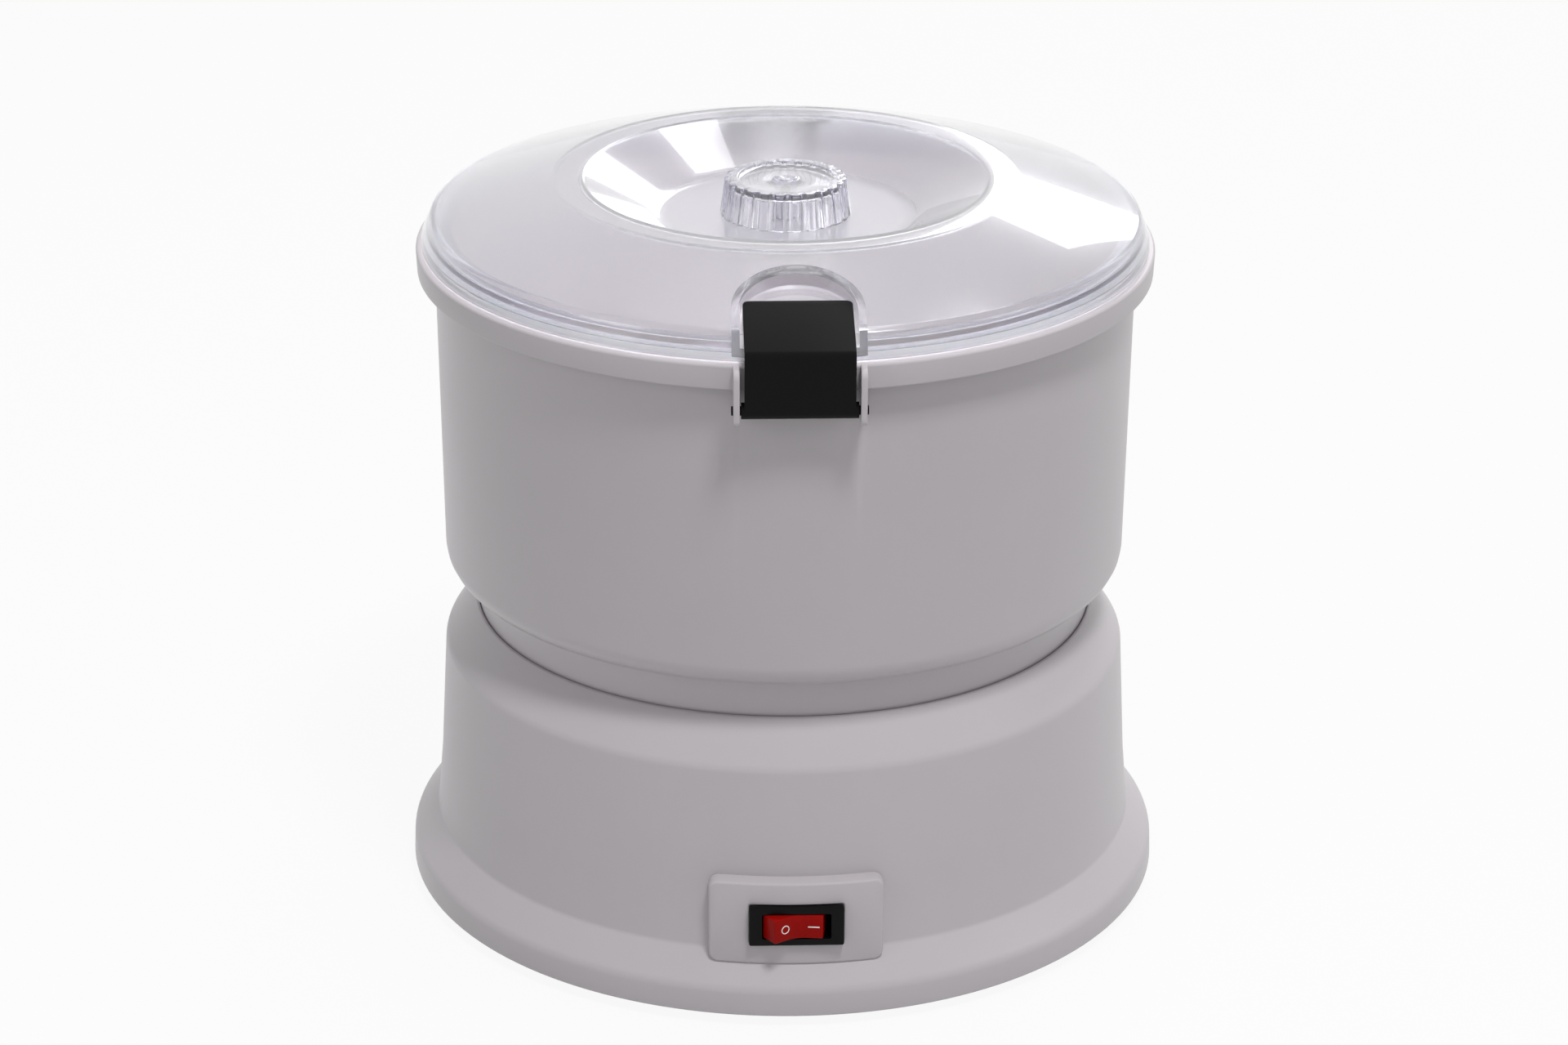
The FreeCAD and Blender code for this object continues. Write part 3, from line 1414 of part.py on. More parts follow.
def peeling_disc():
    """The turning disc with its hub over the drum's tube, three ridges and the grit layer."""
    top = disc_height + d.disc_thickness
    bore = d.tube_radius + d.hub_wall_gap
    hub_top = spindle_shoulder + d.hub_head
    corners = [
        (bore, disc_height),
        (disc_radius, disc_height),
        (disc_radius, disc_height + d.disc_edge),
        (grit_outer_radius + 1, top),
        (d.hub_foot_radius, top),
        (d.hub_radius + 1, top + 6),
        (d.hub_radius, hub_top - 3),
        (d.hub_radius - 4, hub_top),
        (0, hub_top),
        (0, spindle_shoulder),
        (bore, spindle_shoulder),
    ]
    disc = revolved("disc", corners)
    ridges = []
    slots = []
    sink = d.ridge_radius * 0.4
    for number in range(int(d.ridge_count.value)):
        angle = 360 * number / d.ridge_count.value
        across, away = on_circle(d.ridge_start, angle)
        turn = FreeCAD.Rotation(FreeCAD.Vector(0, 0, 1), angle)
        lie = FreeCAD.Rotation(FreeCAD.Vector(0, 1, 0), 90)
        for radius, kept in ((d.ridge_radius, ridges), (d.ridge_radius + d.fixed_gap, slots)):
            bar = cylinder(radius, d.ridge_length, across, away, top - sink)
            bar.Placement.Rotation = turn.multiply(lie)
            kept.append(bar)
    flat = cylinder(disc_radius, 40, 0, 0, disc_height + 1)
    raised = common(fuse(*ridges), flat)
    socket = doc.addObject("Part::Prism", "Socket")
    socket.Polygon = 6
    bind(socket, "Circumradius", (d.hex_flats / 2 + d.hex_clearance) / cosine(30))
    bind(socket, "Height", d.hex_length + 2)
    place(socket, 0, 0, spindle_shoulder - 1)
    piece("peeling_disc", cut(fuse(disc, raised), socket))
    layer = ring(grit_outer_radius, d.grit_inner_radius, d.grit_thickness, 0, 0, top)
    piece("grit_ring", cut(layer, *slots))


base_housing()
base_plate()
base_plate_screws()
suction_feet()
switch_housing()
switch_rocker()
switch_terminals()
cord_grommet()
terminal_block()
gear_plate()
gear_plate_screws()
output_gear()
idler_gear()
motor_pinion()
spindle()
idler_axle()
stator()
motor_brackets()
rotor()
drum_shell()
latches()
lid_shell()
lid_knob()
peeling_disc()
doc.recompute()

for thing in doc.Objects:
    if "Invalid" in thing.State or "Error" in thing.State:
        raise ValueError(f"{thing.Label} is {thing.State}")
for thing in pieces:
    if thing.Shape.isNull() or not thing.Shape.isValid():
        raise ValueError(f"{thing.Label} has no valid shape")

os.makedirs("parts", exist_ok=True)
for thing in pieces:
    thing.Shape.exportStep(f"parts/{thing.Label}.step")
print(len(pieces), "nodes written")
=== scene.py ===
import json
import math

import bmesh
import bpy
from mathutils import Matrix, Vector


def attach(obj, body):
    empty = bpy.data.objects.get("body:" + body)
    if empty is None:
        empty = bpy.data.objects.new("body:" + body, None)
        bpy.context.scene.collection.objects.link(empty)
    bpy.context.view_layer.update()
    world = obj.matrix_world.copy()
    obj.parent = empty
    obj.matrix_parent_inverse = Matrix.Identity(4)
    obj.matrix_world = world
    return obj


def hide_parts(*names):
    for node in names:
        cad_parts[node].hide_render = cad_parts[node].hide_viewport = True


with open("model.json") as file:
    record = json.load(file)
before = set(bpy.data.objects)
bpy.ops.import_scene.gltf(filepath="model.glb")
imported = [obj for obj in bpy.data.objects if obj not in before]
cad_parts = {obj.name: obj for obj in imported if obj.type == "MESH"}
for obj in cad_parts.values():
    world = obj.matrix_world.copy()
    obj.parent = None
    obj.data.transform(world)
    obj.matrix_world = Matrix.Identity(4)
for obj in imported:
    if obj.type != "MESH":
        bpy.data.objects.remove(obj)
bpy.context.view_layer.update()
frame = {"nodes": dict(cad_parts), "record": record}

NODES = frame["nodes"]

bl_info = {
    "name": "Electric Potato Peeler",
    "version": (1, 0, 0),
    "blender": (4, 5, 0),
    "location": "View3D > Sidebar > Peeler",
    "description": "Builds the outside, the finishes and the studio of an electric potato peeler",
    "category": "Add Mesh",
}

MM = 0.001
TURN_STEPS = 160
ROUND_STEPS = 5


def linear(hex_colour):
    """An sRGB hex colour as linear red, green, blue and alpha."""
    channels = [int(hex_colour[start:start + 2], 16) / 255 for start in (0, 2, 4)]
    return [c / 12.92 if c <= 0.04045 else ((c + 0.055) / 1.055) ** 2.4 for c in channels] + [1.0]


def length(label, description, millimetres):
    """A length property that a user may change."""
    return bpy.props.FloatProperty(name=label, description=description, unit="LENGTH",
                                   default=millimetres * MM, precision=4)


def colour(label, description, hex_colour):
    """A colour property that a user may change."""
    return bpy.props.FloatVectorProperty(name=label, description=description, subtype="COLOR",
                                         size=4, min=0.0, max=1.0, default=linear(hex_colour))


class PeelerSizes(bpy.types.PropertyGroup):
    """Sizes of the outside, the same as the construction's."""

    wall: length("Wall", "Wall thickness of the mouldings", 2.5)
    foot_radius: length("Foot radius", "Outer radius of the base at the table", 130.0)
    foot_height: length("Foot height", "Height of the base's lower edge", 4.0)
    foot_edge: length("Foot edge", "Height of the soft edge over the foot wall", 13.4)
    crease_radius: length("Crease radius", "Radius where the foot meets the wall", 121.0)
    crease_height: length("Crease height", "Height where the foot meets the wall", 23.7)
    waist_radius: length("Waist radius", "Radius of the base wall at the waist", 119.2)
    waist_height: length("Waist height", "Height of the waist", 43.4)
    shoulder_radius: length("Shoulder radius", "Radius under the shoulder", 116.8)
    shoulder_height: length("Shoulder height", "Height under the shoulder", 86.8)
    seam_radius: length("Seam radius", "Radius of the base's upper edge", 106.2)
    seam_height: length("Seam height", "Height of the base's upper edge", 100.8)
    deck_height: length("Deck height", "Top of the deck that the drum stands on", 99.6)
    tower_radius: length("Tower radius", "Outer radius of the spindle tower", 13.5)
    tower_height: length("Tower height", "Top of the spindle tower", 110.0)
    tower_bore: length("Tower bore", "Radius of the bore in the tower", 9.0)
    pad_radius: length("Pad radius", "Radius of the switch pad's face", 124.4)
    pad_width: length("Pad width", "Width of the switch pad", 57.0)
    pad_height: length("Pad height", "Height of the switch pad", 29.4)
    switch_height: length("Switch height", "Height of the switch's middle", 35.0)
    bezel_seat: length("Frame seat", "Radius where the switch frame lies on the pad", 123.2)
    drum_floor: length("Drum floor", "Underside of the drum", 114.0)
    drum_foot: length("Drum foot radius", "Drum radius at the bottom", 115.9)
    drum_neck: length("Drum neck radius", "Drum radius under the band", 117.2)
    drum_top: length("Drum top", "Top of the drum's rim", 228.1)
    band_radius: length("Band radius", "Outer radius of the rim band", 123.4)
    band_height: length("Band height", "Height of the rim band", 8.4)
    collar_foot: length("Collar foot radius", "Collar radius at the seam", 104.9)
    collar_top: length("Collar top radius", "Collar radius under the drum", 106.3)
    latch_face: length("Latch face", "Radius of the latch's outer face", 127.0)
    latch_width: length("Latch width", "Width of a latch", 34.4)
    latch_bend: length("Latch bend", "Height of the latch's bend", 233.6)
    latch_tip: length("Latch tip", "Radius of the latch's tip", 100.0)
    pivot_radius: length("Pivot radius", "Radius of the latch pin", 124.4)
    pivot_height: length("Pivot height", "Height of the latch pin", 214.2)
    lid_top: length("Lid top", "Top of the flat ring", 250.0)
    ring_inner: length("Ring inner radius", "Inner radius of the flat ring", 67.4)
    ring_outer: length("Ring outer radius", "Outer radius of the flat ring", 77.3)
    dish_radius: length("Dish radius", "Radius of the dish floor", 43.4)
    dish_floor: length("Dish floor", "Height of the dish floor", 236.8)
    cone_radius: length("Cone radius", "Radius at the foot of the cone", 118.3)
    cone_height: length("Cone height", "Height at the foot of the cone", 237.9)
    skirt_radius: length("Skirt radius", "Outer radius of the lid's skirt", 121.5)
    pocket_centre: length("Pocket centre", "Radius of the pocket's round end", 105.6)
    pocket_width: length("Pocket width", "Inner width of a latch pocket", 37.0)
    knob_radius: length("Knob radius", "Radius of the knob at its foot", 21.9)


class PeelerColours(bpy.types.PropertyGroup):
    """Colours of the finishes."""

    shell: colour("Shell", "Off-white ABS of the base and drum", "b6b1b5")
    clear: colour("Clear", "Tint of the clear lid and knob", "ecebed")
    black: colour("Black", "Black latches and switch frame", "080708")
    red: colour("Red", "Red rocker", "8e0a06")
    mark: colour("Mark", "Printed marks on the rocker", "e9e4e2")
    floor: colour("Floor", "Studio floor", "c8c8c8")


def scene_sizes():
    return bpy.context.scene.peeler_sizes


def scene_colours():
    return bpy.context.scene.peeler_colours


# Modelling helpers

def only(obj):
    """Select and activate one object."""
    bpy.ops.object.select_all(action="DESELECT")
    obj.select_set(True)
    bpy.context.view_layer.objects.active = obj


def start_editing(obj):
    only(obj)
    bpy.ops.object.mode_set(mode="EDIT")


def stop_editing():
    bpy.ops.object.mode_set(mode="OBJECT")


def select_vertices(obj, wanted):
    """In edit mode, select just the vertices that a test picks by their place."""
    mesh = bmesh.from_edit_mesh(obj.data)
    for part in (mesh.faces, mesh.edges, mesh.verts):
        for item in part:
            item.select = False
    for vertex in mesh.verts:
        vertex.select = wanted(vertex.co)
    mesh.select_flush_mode()
    bmesh.update_edit_mesh(obj.data)


def named(obj, name):
    obj.name = name
    obj.data.name = name
    return obj


def flat_face(name, corners):
    """One flat face through corners of x, y, z and rounding, left in edit mode."""
    bpy.ops.object.select_all(action="DESELECT")
    start = Vector(corners[0][:3])
    bpy.ops.mesh.primitive_plane_add(size=MM, location=start)
    obj = named(bpy.context.object, name)
    bpy.ops.object.transform_apply(location=True)
    start_editing(obj)
    bpy.ops.mesh.select_all(action="SELECT")
    bpy.ops.mesh.merge(type="CENTER")
    for before, after in zip(corners, corners[1:]):
        step = Vector(after[:3]) - Vector(before[:3])
        bpy.ops.mesh.extrude_vertices_move(TRANSFORM_OT_translate={"value": step})
    bpy.ops.mesh.select_all(action="SELECT")
    bpy.ops.mesh.edge_face_add()
    for x, y, z, rounding in corners:
        if rounding:
            spot = Vector((x, y, z))
            select_vertices(obj, lambda place, spot=spot: (place - spot).length < MM / 100)
            bpy.ops.mesh.bevel(offset=rounding, segments=ROUND_STEPS, affect="VERTICES")
    return obj


def turned(name, outline, steps=TURN_STEPS):
    """A solid turned about Z from an outline of radius, height and rounding."""
    obj = flat_face(name, [(radius, 0.0, height, rounding) for radius, height, rounding in outline])
    bpy.ops.mesh.select_all(action="SELECT")
    bpy.ops.mesh.delete(type="ONLY_FACE")
    bpy.ops.mesh.select_all(action="SELECT")
    bpy.ops.mesh.spin(steps=steps, angle=2 * math.pi, center=(0, 0, 0), axis=(0, 0, 1))
    bpy.ops.mesh.select_all(action="SELECT")
    bpy.ops.mesh.remove_doubles(threshold=MM / 100)
    bpy.ops.mesh.normals_make_consistent(inside=False)
    stop_editing()
    return obj


def prism(name, corners, along):
    """A solid drawn out from a flat face along a vector."""
    obj = flat_face(name, corners)
    bpy.ops.mesh.select_all(action="SELECT")
    bpy.ops.mesh.extrude_region_move(TRANSFORM_OT_translate={"value": Vector(along)})
    bpy.ops.mesh.select_all(action="SELECT")
    bpy.ops.mesh.normals_make_consistent(inside=False)
    stop_editing()
    return obj


def block(name, low, high, rounding=0.0):
    """A box between two corners, with its upright edges rounded."""
    x0, y0, z0 = low
    x1, y1, z1 = high
    corners = [(x0, y0, z0, rounding), (x1, y0, z0, rounding), (x1, y1, z0, rounding),
               (x0, y1, z0, rounding)]
    return prism(name, corners, (0, 0, z1 - z0))


def facing_block(name, half_width, near, far, low, high, rounding):
    """A box whose rounded edges run along Y, from one depth to another."""
    corners = [(-half_width, near, low, rounding), (half_width, near, low, rounding),
               (half_width, near, high, rounding), (-half_width, near, high, rounding)]
    return prism(name, corners, (0, far - near, 0))


def rod(name, radius, start, end, steps=48):
    """A round bar between two points."""
    axis = Vector(end) - Vector(start)
    turn = Vector((0, 0, 1)).rotation_difference(axis)
    bpy.ops.object.select_all(action="DESELECT")
    bpy.ops.mesh.primitive_cylinder_add(vertices=steps, radius=radius, depth=axis.length,
                                        location=(Vector(start) + Vector(end)) / 2,
                                        rotation=turn.to_euler())
    obj = named(bpy.context.object, name)
    bpy.ops.object.transform_apply(location=True, rotation=True, scale=True)
    return obj


def combine(obj, tool, operation):
    """Join, cut or intersect a piece with a tool that is then gone."""
    only(obj)
    bpy.ops.object.modifier_add(type="BOOLEAN")
    modifier = obj.modifiers[-1]
    modifier.operation = operation
    modifier.solver = "EXACT"
    modifier.object = tool
    bpy.ops.object.modifier_apply(modifier=modifier.name)
    bpy.data.objects.remove(tool)
    return obj


def softened(obj, width, segments=3, angle=35):
    """Bevel a piece's sharp edges."""
    only(obj)
    bpy.ops.object.modifier_add(type="BEVEL")
    modifier = obj.modifiers[-1]
    modifier.width = width
    modifier.segments = segments
    modifier.limit_method = "ANGLE"
    modifier.angle_limit = math.radians(angle)
    modifier.miter_outer = "MITER_ARC"
    modifier.use_clamp_overlap = True
    bpy.ops.object.modifier_apply(modifier=modifier.name)
    return obj


def half_turned(obj):
    """A piece turned to the other side of the object."""
    obj.data.transform(Matrix.Rotation(math.pi, 4, "Z"))
    return obj


def dressed(obj, body, material, nodes=(), angle=32):
    """Smooth a finished piece, give it its finish and put it on its body."""
    only(obj)
    bpy.ops.object.shade_smooth_by_angle(angle=math.radians(angle))
    obj.data.materials.clear()
    obj.data.materials.append(material)
    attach(obj, body)
    if nodes:
        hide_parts(*nodes)
    return obj


# Materials

def add_node(tree, kind, values=None, links=None, **options):
    """Add a node, set its options and socket values, and link its inputs."""
    made = tree.nodes.new(kind)
    for name, value in options.items():
        setattr(made, name, value)
    for name, value in (values or {}).items():
        made.inputs[name].default_value = value
    for name, source in (links or {}).items():
        tree.links.new(source, made.inputs[name])
    return made


def new_surface(name, **values):
    """A material with a principled shader; socket names are given with underscores."""
    made = bpy.data.materials.new(name)
    made.use_nodes = True
    tree = made.node_tree
    shader = tree.nodes["Principled BSDF"]
    for socket, value in values.items():
        shader.inputs[socket.replace("_", " ")].default_value = value
    place = add_node(tree, "ShaderNodeTexCoord").outputs["Object"]
    return made, tree, shader, place


def grain(tree, place, size, detail=3.0):
    """Soft noise whose features are about a given size."""
    return add_node(tree, "ShaderNodeTexNoise", {"Scale": 1 / size, "Detail": detail},
                    {"Vector": place})


def tinted(tree, shader, source, base, spread):
    """Let the colour wander a little round its base."""
    low = [channel * (1 - spread) for channel in base[:3]] + [1.0]
    high = [min(1.0, channel * (1 + spread)) for channel in base[:3]] + [1.0]
    blend = add_node(tree, "ShaderNodeMixRGB", {"Color1": low, "Color2": high}, {"Fac": source})
    tree.links.new(blend.outputs["Color"], shader.inputs["Base Color"])


def rough_range(tree, shader, source, low, high):
    """Roughness that follows a pattern between two values."""
    span = add_node(tree, "ShaderNodeMapRange", {"To Min": low, "To Max": high}, {"Value": source})
    tree.links.new(span.outputs["Result"], shader.inputs["Roughness"])


def raised(tree, shader, source, height, strength=1.0):
    """Fine relief of a real height in metres."""
    bump = add_node(tree, "ShaderNodeBump", {"Strength": strength, "Distance": height},
                    {"Height": source})
    tree.links.new(bump.outputs["Normal"], shader.inputs["Normal"])


def moulded_abs(name, base, low, high, relief):
    """Injection-moulded ABS: an even satin gloss with a faint mould texture."""
    made, tree, shader, place = new_surface(name, IOR=1.53)
    cloud = grain(tree, place, 40 * MM)
    skin = grain(tree, place, 0.8 * MM, 5.0)
    tinted(tree, shader, cloud.outputs["Fac"], base, 0.025)
    rough_range(tree, shader, cloud.outputs["Fac"], low, high)
    raised(tree, shader, skin.outputs["Fac"], relief)
    return made


def shell_abs():
    """Off-white ABS, moulded and polished: soft broad highlights."""
    return moulded_abs("off_white_abs", scene_colours().shell, 0.30, 0.38, 0.006 * MM)


def black_abs():
    """Black ABS, moulded in a spark-eroded tool: dull satin that mirrors little of the room."""
    made = moulded_abs("black_satin_abs", scene_colours().black, 0.38, 0.48, 0.02 * MM)
    made.node_tree.nodes["Principled BSDF"].inputs["Specular IOR Level"].default_value = 0.1
    return made


def clear_san(name="clear_san", blur=0.04, frosted_radius=0.0):
    """Clear styrene acrylonitrile, moulded and polished: sharp highlights, lilac in its edges.

    A thick moulding blurs what lies far behind it a little, while its skin stays bright.

    Inside the frosted radius the tool was spark-eroded, which turns that face milky.
    """
    made, tree, shader, place = new_surface(name, IOR=1.5, Roughness=blur, Coat_Weight=1.0,
                                            Coat_Roughness=0.02, Transmission_Weight=0.97)
    cloud = grain(tree, place, 60 * MM)
    tinted(tree, shader, cloud.outputs["Fac"], scene_colours().clear, 0.01)
    raised(tree, shader, grain(tree, place, 18 * MM).outputs["Fac"], 0.02 * MM)
    if frosted_radius:
        flat = add_node(tree, "ShaderNodeVectorMath", {1: (1.0, 1.0, 0.0)}, {0: place},
                        operation="MULTIPLY")
        reach = add_node(tree, "ShaderNodeVectorMath", {}, {0: flat.outputs["Vector"]},
                         operation="LENGTH")
        frost = add_node(tree, "ShaderNodeMapRange",
                         {"From Min": frosted_radius, "From Max": frosted_radius + 0.4 * MM,
                          "To Min": 1.0, "To Max": 0.0}, {"Value": reach.outputs["Value"]})
        rough_range(tree, shader, frost.outputs["Result"], blur, 0.36)
        clearness = add_node(tree, "ShaderNodeMapRange", {"To Min": 0.97, "To Max": 0.93},
                             {"Value": frost.outputs["Result"]})
        tree.links.new(clearness.outputs["Result"], shader.inputs["Transmission Weight"])
    tint = add_node(tree, "ShaderNodeVolumeAbsorption",
                    {"Color": (0.72, 0.72, 1.0, 1.0), "Density": 32.0})
    tree.links.new(tint.outputs["Volume"], tree.nodes["Material Output"].inputs["Volume"])
    return made


def red_polycarbonate():
    """Translucent red polycarbonate, moulded: deep colour under a soft gloss."""
    made, tree, shader, place = new_surface("red_polycarbonate", IOR=1.58, Roughness=0.22,
                                            Specular_IOR_Level=0.05)
    cloud = grain(tree, place, 6 * MM)
    tinted(tree, shader, cloud.outputs["Fac"], scene_colours().red, 0.12)
    raised(tree, shader, grain(tree, place, 1.5 * MM).outputs["Fac"], 0.01 * MM)
    return made


def printed_mark():
    """Pad-printed white ink: flat and slightly chalky."""
    return moulded_abs("printed_white_ink", scene_colours().mark, 0.55, 0.65, 0.004 * MM)


def plate_abs():
    """Grey ABS of the bottom plate, moulded with a fine texture."""
    return moulded_abs("grey_textured_abs", linear("8f8d91"), 0.5, 0.62, 0.04 * MM)


def moulded_rubber():
    """Soft black rubber: dull, with a faint bloom."""
    return moulded_abs("moulded_rubber", linear("222123"), 0.62, 0.8, 0.03 * MM)


def milky_silicone():
    """Translucent silicone of the lid seal and the suction feet: soft and waxy."""
    made = moulded_abs("milky_silicone", linear("cfcbcd"), 0.45, 0.55, 0.01 * MM)
    made.node_tree.nodes["Principled BSDF"].inputs["Subsurface Weight"].default_value = 0.2
    return made


def acetal():
    """Natural acetal of the gears: creamy and slightly waxy."""
    return moulded_abs("natural_acetal", linear("e4e0d2"), 0.38, 0.5, 0.01 * MM)


def metal(name, base, low, high, streak):
    """A metal with fine drawn or rolled streaks."""
    made, tree, shader, place = new_surface(name, Metallic=1.0)
    stretch = add_node(tree, "ShaderNodeMapping", {"Scale": (1.0, 1.0, 0.06)}, {"Vector": place})
    lines = grain(tree, stretch.outputs["Vector"], streak)
    tinted(tree, shader, lines.outputs["Fac"], base, 0.06)
    rough_range(tree, shader, lines.outputs["Fac"], low, high)
    raised(tree, shader, lines.outputs["Fac"], 0.01 * MM)
    return made


def zinc_steel():
    """Zinc-plated steel: bright grey with fine streaks."""
    return metal("zinc_plated_steel", linear("b8babd"), 0.25, 0.42, 0.4 * MM)


def silicon_steel():
    """Stacked silicon steel sheets of the motor: dark, ribbed by its edges."""
    made = metal("silicon_steel_stack", linear("6d6e74"), 0.45, 0.6, 0.5 * MM)
    return made


def sintered_bronze():
    """Sintered bronze and brass: warm and slightly porous."""
    return metal("sintered_bronze", linear("c4a468"), 0.35, 0.5, 0.5 * MM)


def enamelled_copper():
    """Enamelled copper wire: warm red with a varnish gloss."""
    made = metal("enamelled_copper", linear("b5663a"), 0.22, 0.35, 0.5 * MM)
    made.node_tree.nodes["Principled BSDF"].inputs["Coat Weight"].default_value = 0.5
    return made


def bonded_grit():
    """Bonded abrasive grit, drawn at 1.2 mm so that it shows: rough grey grains in resin."""
    made, tree, shader, place = new_surface("bonded_grit", IOR=1.6)
    grains = add_node(tree, "ShaderNodeTexVoronoi", {"Scale": 1 / (1.2 * MM)}, {"Vector": place})
    tinted(tree, shader, grains.outputs["Distance"], linear("77736f"), 0.45)
    rough_range(tree, shader, grains.outputs["Distance"], 0.5, 0.85)
    raised(tree, shader, grains.outputs["Distance"], 0.35 * MM)
    return made


def finish_for(slot):
    """The finish of one of the record's material slots, made once."""
    makers = {
        "body_plastic": shell_abs, "plate_plastic": plate_abs, "clear_plastic": clear_san,
        "black_plastic": black_abs, "red_plastic": red_polycarbonate, "rubber": moulded_rubber,
        "silicone": milky_silicone, "steel": zinc_steel, "laminations": silicon_steel,
        "copper": enamelled_copper, "brass": sintered_bronze, "gear_plastic": acetal,
        "disc_plastic": shell_abs, "grit": bonded_grit,
    }
    if slot not in FINISHES:
        FINISHES[slot] = makers[slot]()
    return FINISHES[slot]


FINISHES = {}


# Pieces

def build_base():
    """The base: turned skin with deck and tower, switch pad, lugs, cut-outs and inlet boss."""
    s = scene_sizes()
    wall = s.wall
    inner = s.crease_radius - wall
    outline = [
        (s.seam_radius, s.seam_height, 0.5 * MM),
        (s.shoulder_radius, s.shoulder_height, 1.6 * MM),
        (s.waist_radius, s.waist_height, 0.0),
        (s.crease_radius, s.crease_height, 0.7 * MM),
        (s.foot_radius - 0.4 * MM, s.foot_edge, 1.8 * MM),
        (s.foot_radius, s.foot_height, 0.6 * MM),
        (s.foot_radius - wall, s.foot_height, 0.0),
        (s.foot_radius - wall - 0.4 * MM, s.foot_edge - wall / 2, 0.0),
        (inner, s.crease_height - wall / 2, 0.0),
        (s.waist_radius - wall, s.waist_height, 0.0),
        (s.shoulder_radius - wall, s.shoulder_height - wall / 2, 0.0),
        (s.seam_radius - wall, s.deck_height - 3 * MM, 0.0),
        (s.tower_bore, s.deck_height - 3 * MM, 0.0),
        (s.tower_bore, s.tower_height, 0.0),
        (s.tower_radius, s.tower_height, 0.8 * MM),
        (s.tower_radius, s.deck_height, 1.0 * MM),
        (s.collar_foot + 0.3 * MM, s.deck_height, 0.0),
        (s.collar_foot + 0.3 * MM, s.seam_height, 0.3 * MM),
    ]
    base = turned("base_shell", outline)
    low = s.switch_height - s.pad_height / 2
    high = s.switch_height + s.pad_height / 2
    pad = facing_block("pad", s.pad_width / 2, -(s.waist_radius - wall - MM),
                       -(s.pad_radius + 3 * MM), low, high, 3.0 * MM)
    limit = turned("pad_limit", [(0, low - 0.01, 0), (s.pad_radius, low - 0.01, 0),
                                 (s.pad_radius, high + 0.01, 0), (0, high + 0.01, 0)], 240)
    pad = softened(combine(pad, limit, "INTERSECT"), 0.8 * MM, 3)
    combine(base, pad, "UNION")
    boss = rod("boss", 13 * MM, (0, s.waist_radius - 5 * MM, 0.036), (0, 121.4 * MM, 0.036), 64)
    combine(base, softened(boss, 0.6 * MM), "UNION")
    for angle in (30, 150, 270):
        lug = block("lug", (76 * MM, -6 * MM, s.deck_height - MM),
                    (84 * MM, 6 * MM, s.deck_height + 8 * MM), MM)
        lug.data.transform(Matrix.Rotation(math.radians(angle), 4, "Z"))
        combine(base, lug, "UNION")
    seat = facing_block("seat", 15.8 * MM, -s.bezel_seat, -0.140, s.switch_height - 7.3 * MM,
                        s.switch_height + 7.3 * MM, 0.9 * MM)
    combine(base, seat, "DIFFERENCE")
    opening = facing_block("opening", 13.7 * MM, -0.140, -0.100, s.switch_height - 6.4 * MM,
                           s.switch_height + 6.4 * MM, 0.0)
    combine(base, opening, "DIFFERENCE")
    inlet = rod("inlet", 7 * MM, (0, 0.105, 0.036), (0, 0.140, 0.036), 64)
    combine(base, inlet, "DIFFERENCE")
    dressed(base, "base", finish_for("body_plastic"), ["base_housing"])


def build_switch():
    """The switch frame with its opening, the rocker, and the I and O marks."""
    s = scene_sizes()
    black = finish_for("black_plastic")
    middle = s.switch_height
    front = -(s.bezel_seat + 2.8 * MM)
    half = 4.2 * MM
    bezel = facing_block("switch_frame", 15.5 * MM, -s.bezel_seat, front,
                         middle - 7 * MM, middle + 7 * MM, 0.7 * MM)
    body = facing_block("switch_body", 13.4 * MM, -s.bezel_seat + 22 * MM, -s.bezel_seat - MM,
                        middle - 6.1 * MM, middle + 6.1 * MM, 0.5 * MM)
    combine(softened(bezel, 0.5 * MM), body, "UNION")
    opening = facing_block("rocker_opening", 11.3 * MM, -0.112, -0.140,
                           middle - half - 0.35 * MM, middle + half + 0.35 * MM, 0.6 * MM)
    combine(bezel, opening, "DIFFERENCE")
    dressed(bezel, "base", black, ["switch_housing"])
    reach, crest, dip = 8.0, 3.0, 0.3
    outline = [(-reach, -crest, 0.4), (0.0, -dip, 3.0), (reach, -crest, 0.4), (10.8, 3.0, 0.5),
               (3.6, 8.0, 0.5), (-3.6, 8.0, 0.5), (-10.8, 3.0, 0.5)]
    corners = [(x * MM, y * MM, middle - half, soft * MM) for x, y, soft in outline]
    rocker = softened(prism("rocker", corners, (0, 0, 2 * half)), 0.35 * MM)
    spot = Matrix.Translation((0, -125.4 * MM, 0)) @ Matrix.Rotation(math.radians(12), 4, "Z")
    rocker.data.transform(spot)
    dressed(rocker, "rocker", finish_for("red_plastic"), ["switch_rocker"])
    lean = math.atan2(crest - dip, reach)
    ink = printed_mark()
    for name, along, side in (("mark_off", -4.2, 1), ("mark_on", 5.2, -1)):
        bpy.ops.object.select_all(action="DESELECT")
        if name == "mark_off":
            bpy.ops.mesh.primitive_torus_add(major_radius=1.35 * MM, minor_radius=0.17 * MM,
                                             major_segments=48, minor_segments=10,
                                             rotation=(math.pi / 2, 0, 0))
            mark = named(bpy.context.object, name)
            bpy.ops.object.transform_apply(rotation=True)
        else:
            mark = softened(block(name, (-1.9 * MM, -0.12 * MM, -0.2 * MM),
                                  (1.9 * MM, 0.12 * MM, 0.2 * MM)), 0.06 * MM, 2)
        depth = -(dip + (crest - dip) * abs(along) / reach)
        place = Matrix.Translation((along * MM, depth * MM, middle))
        mark.data.transform(spot @ place @ Matrix.Rotation(side * lean, 4, "Z"))
        dressed(mark, "rocker", ink)


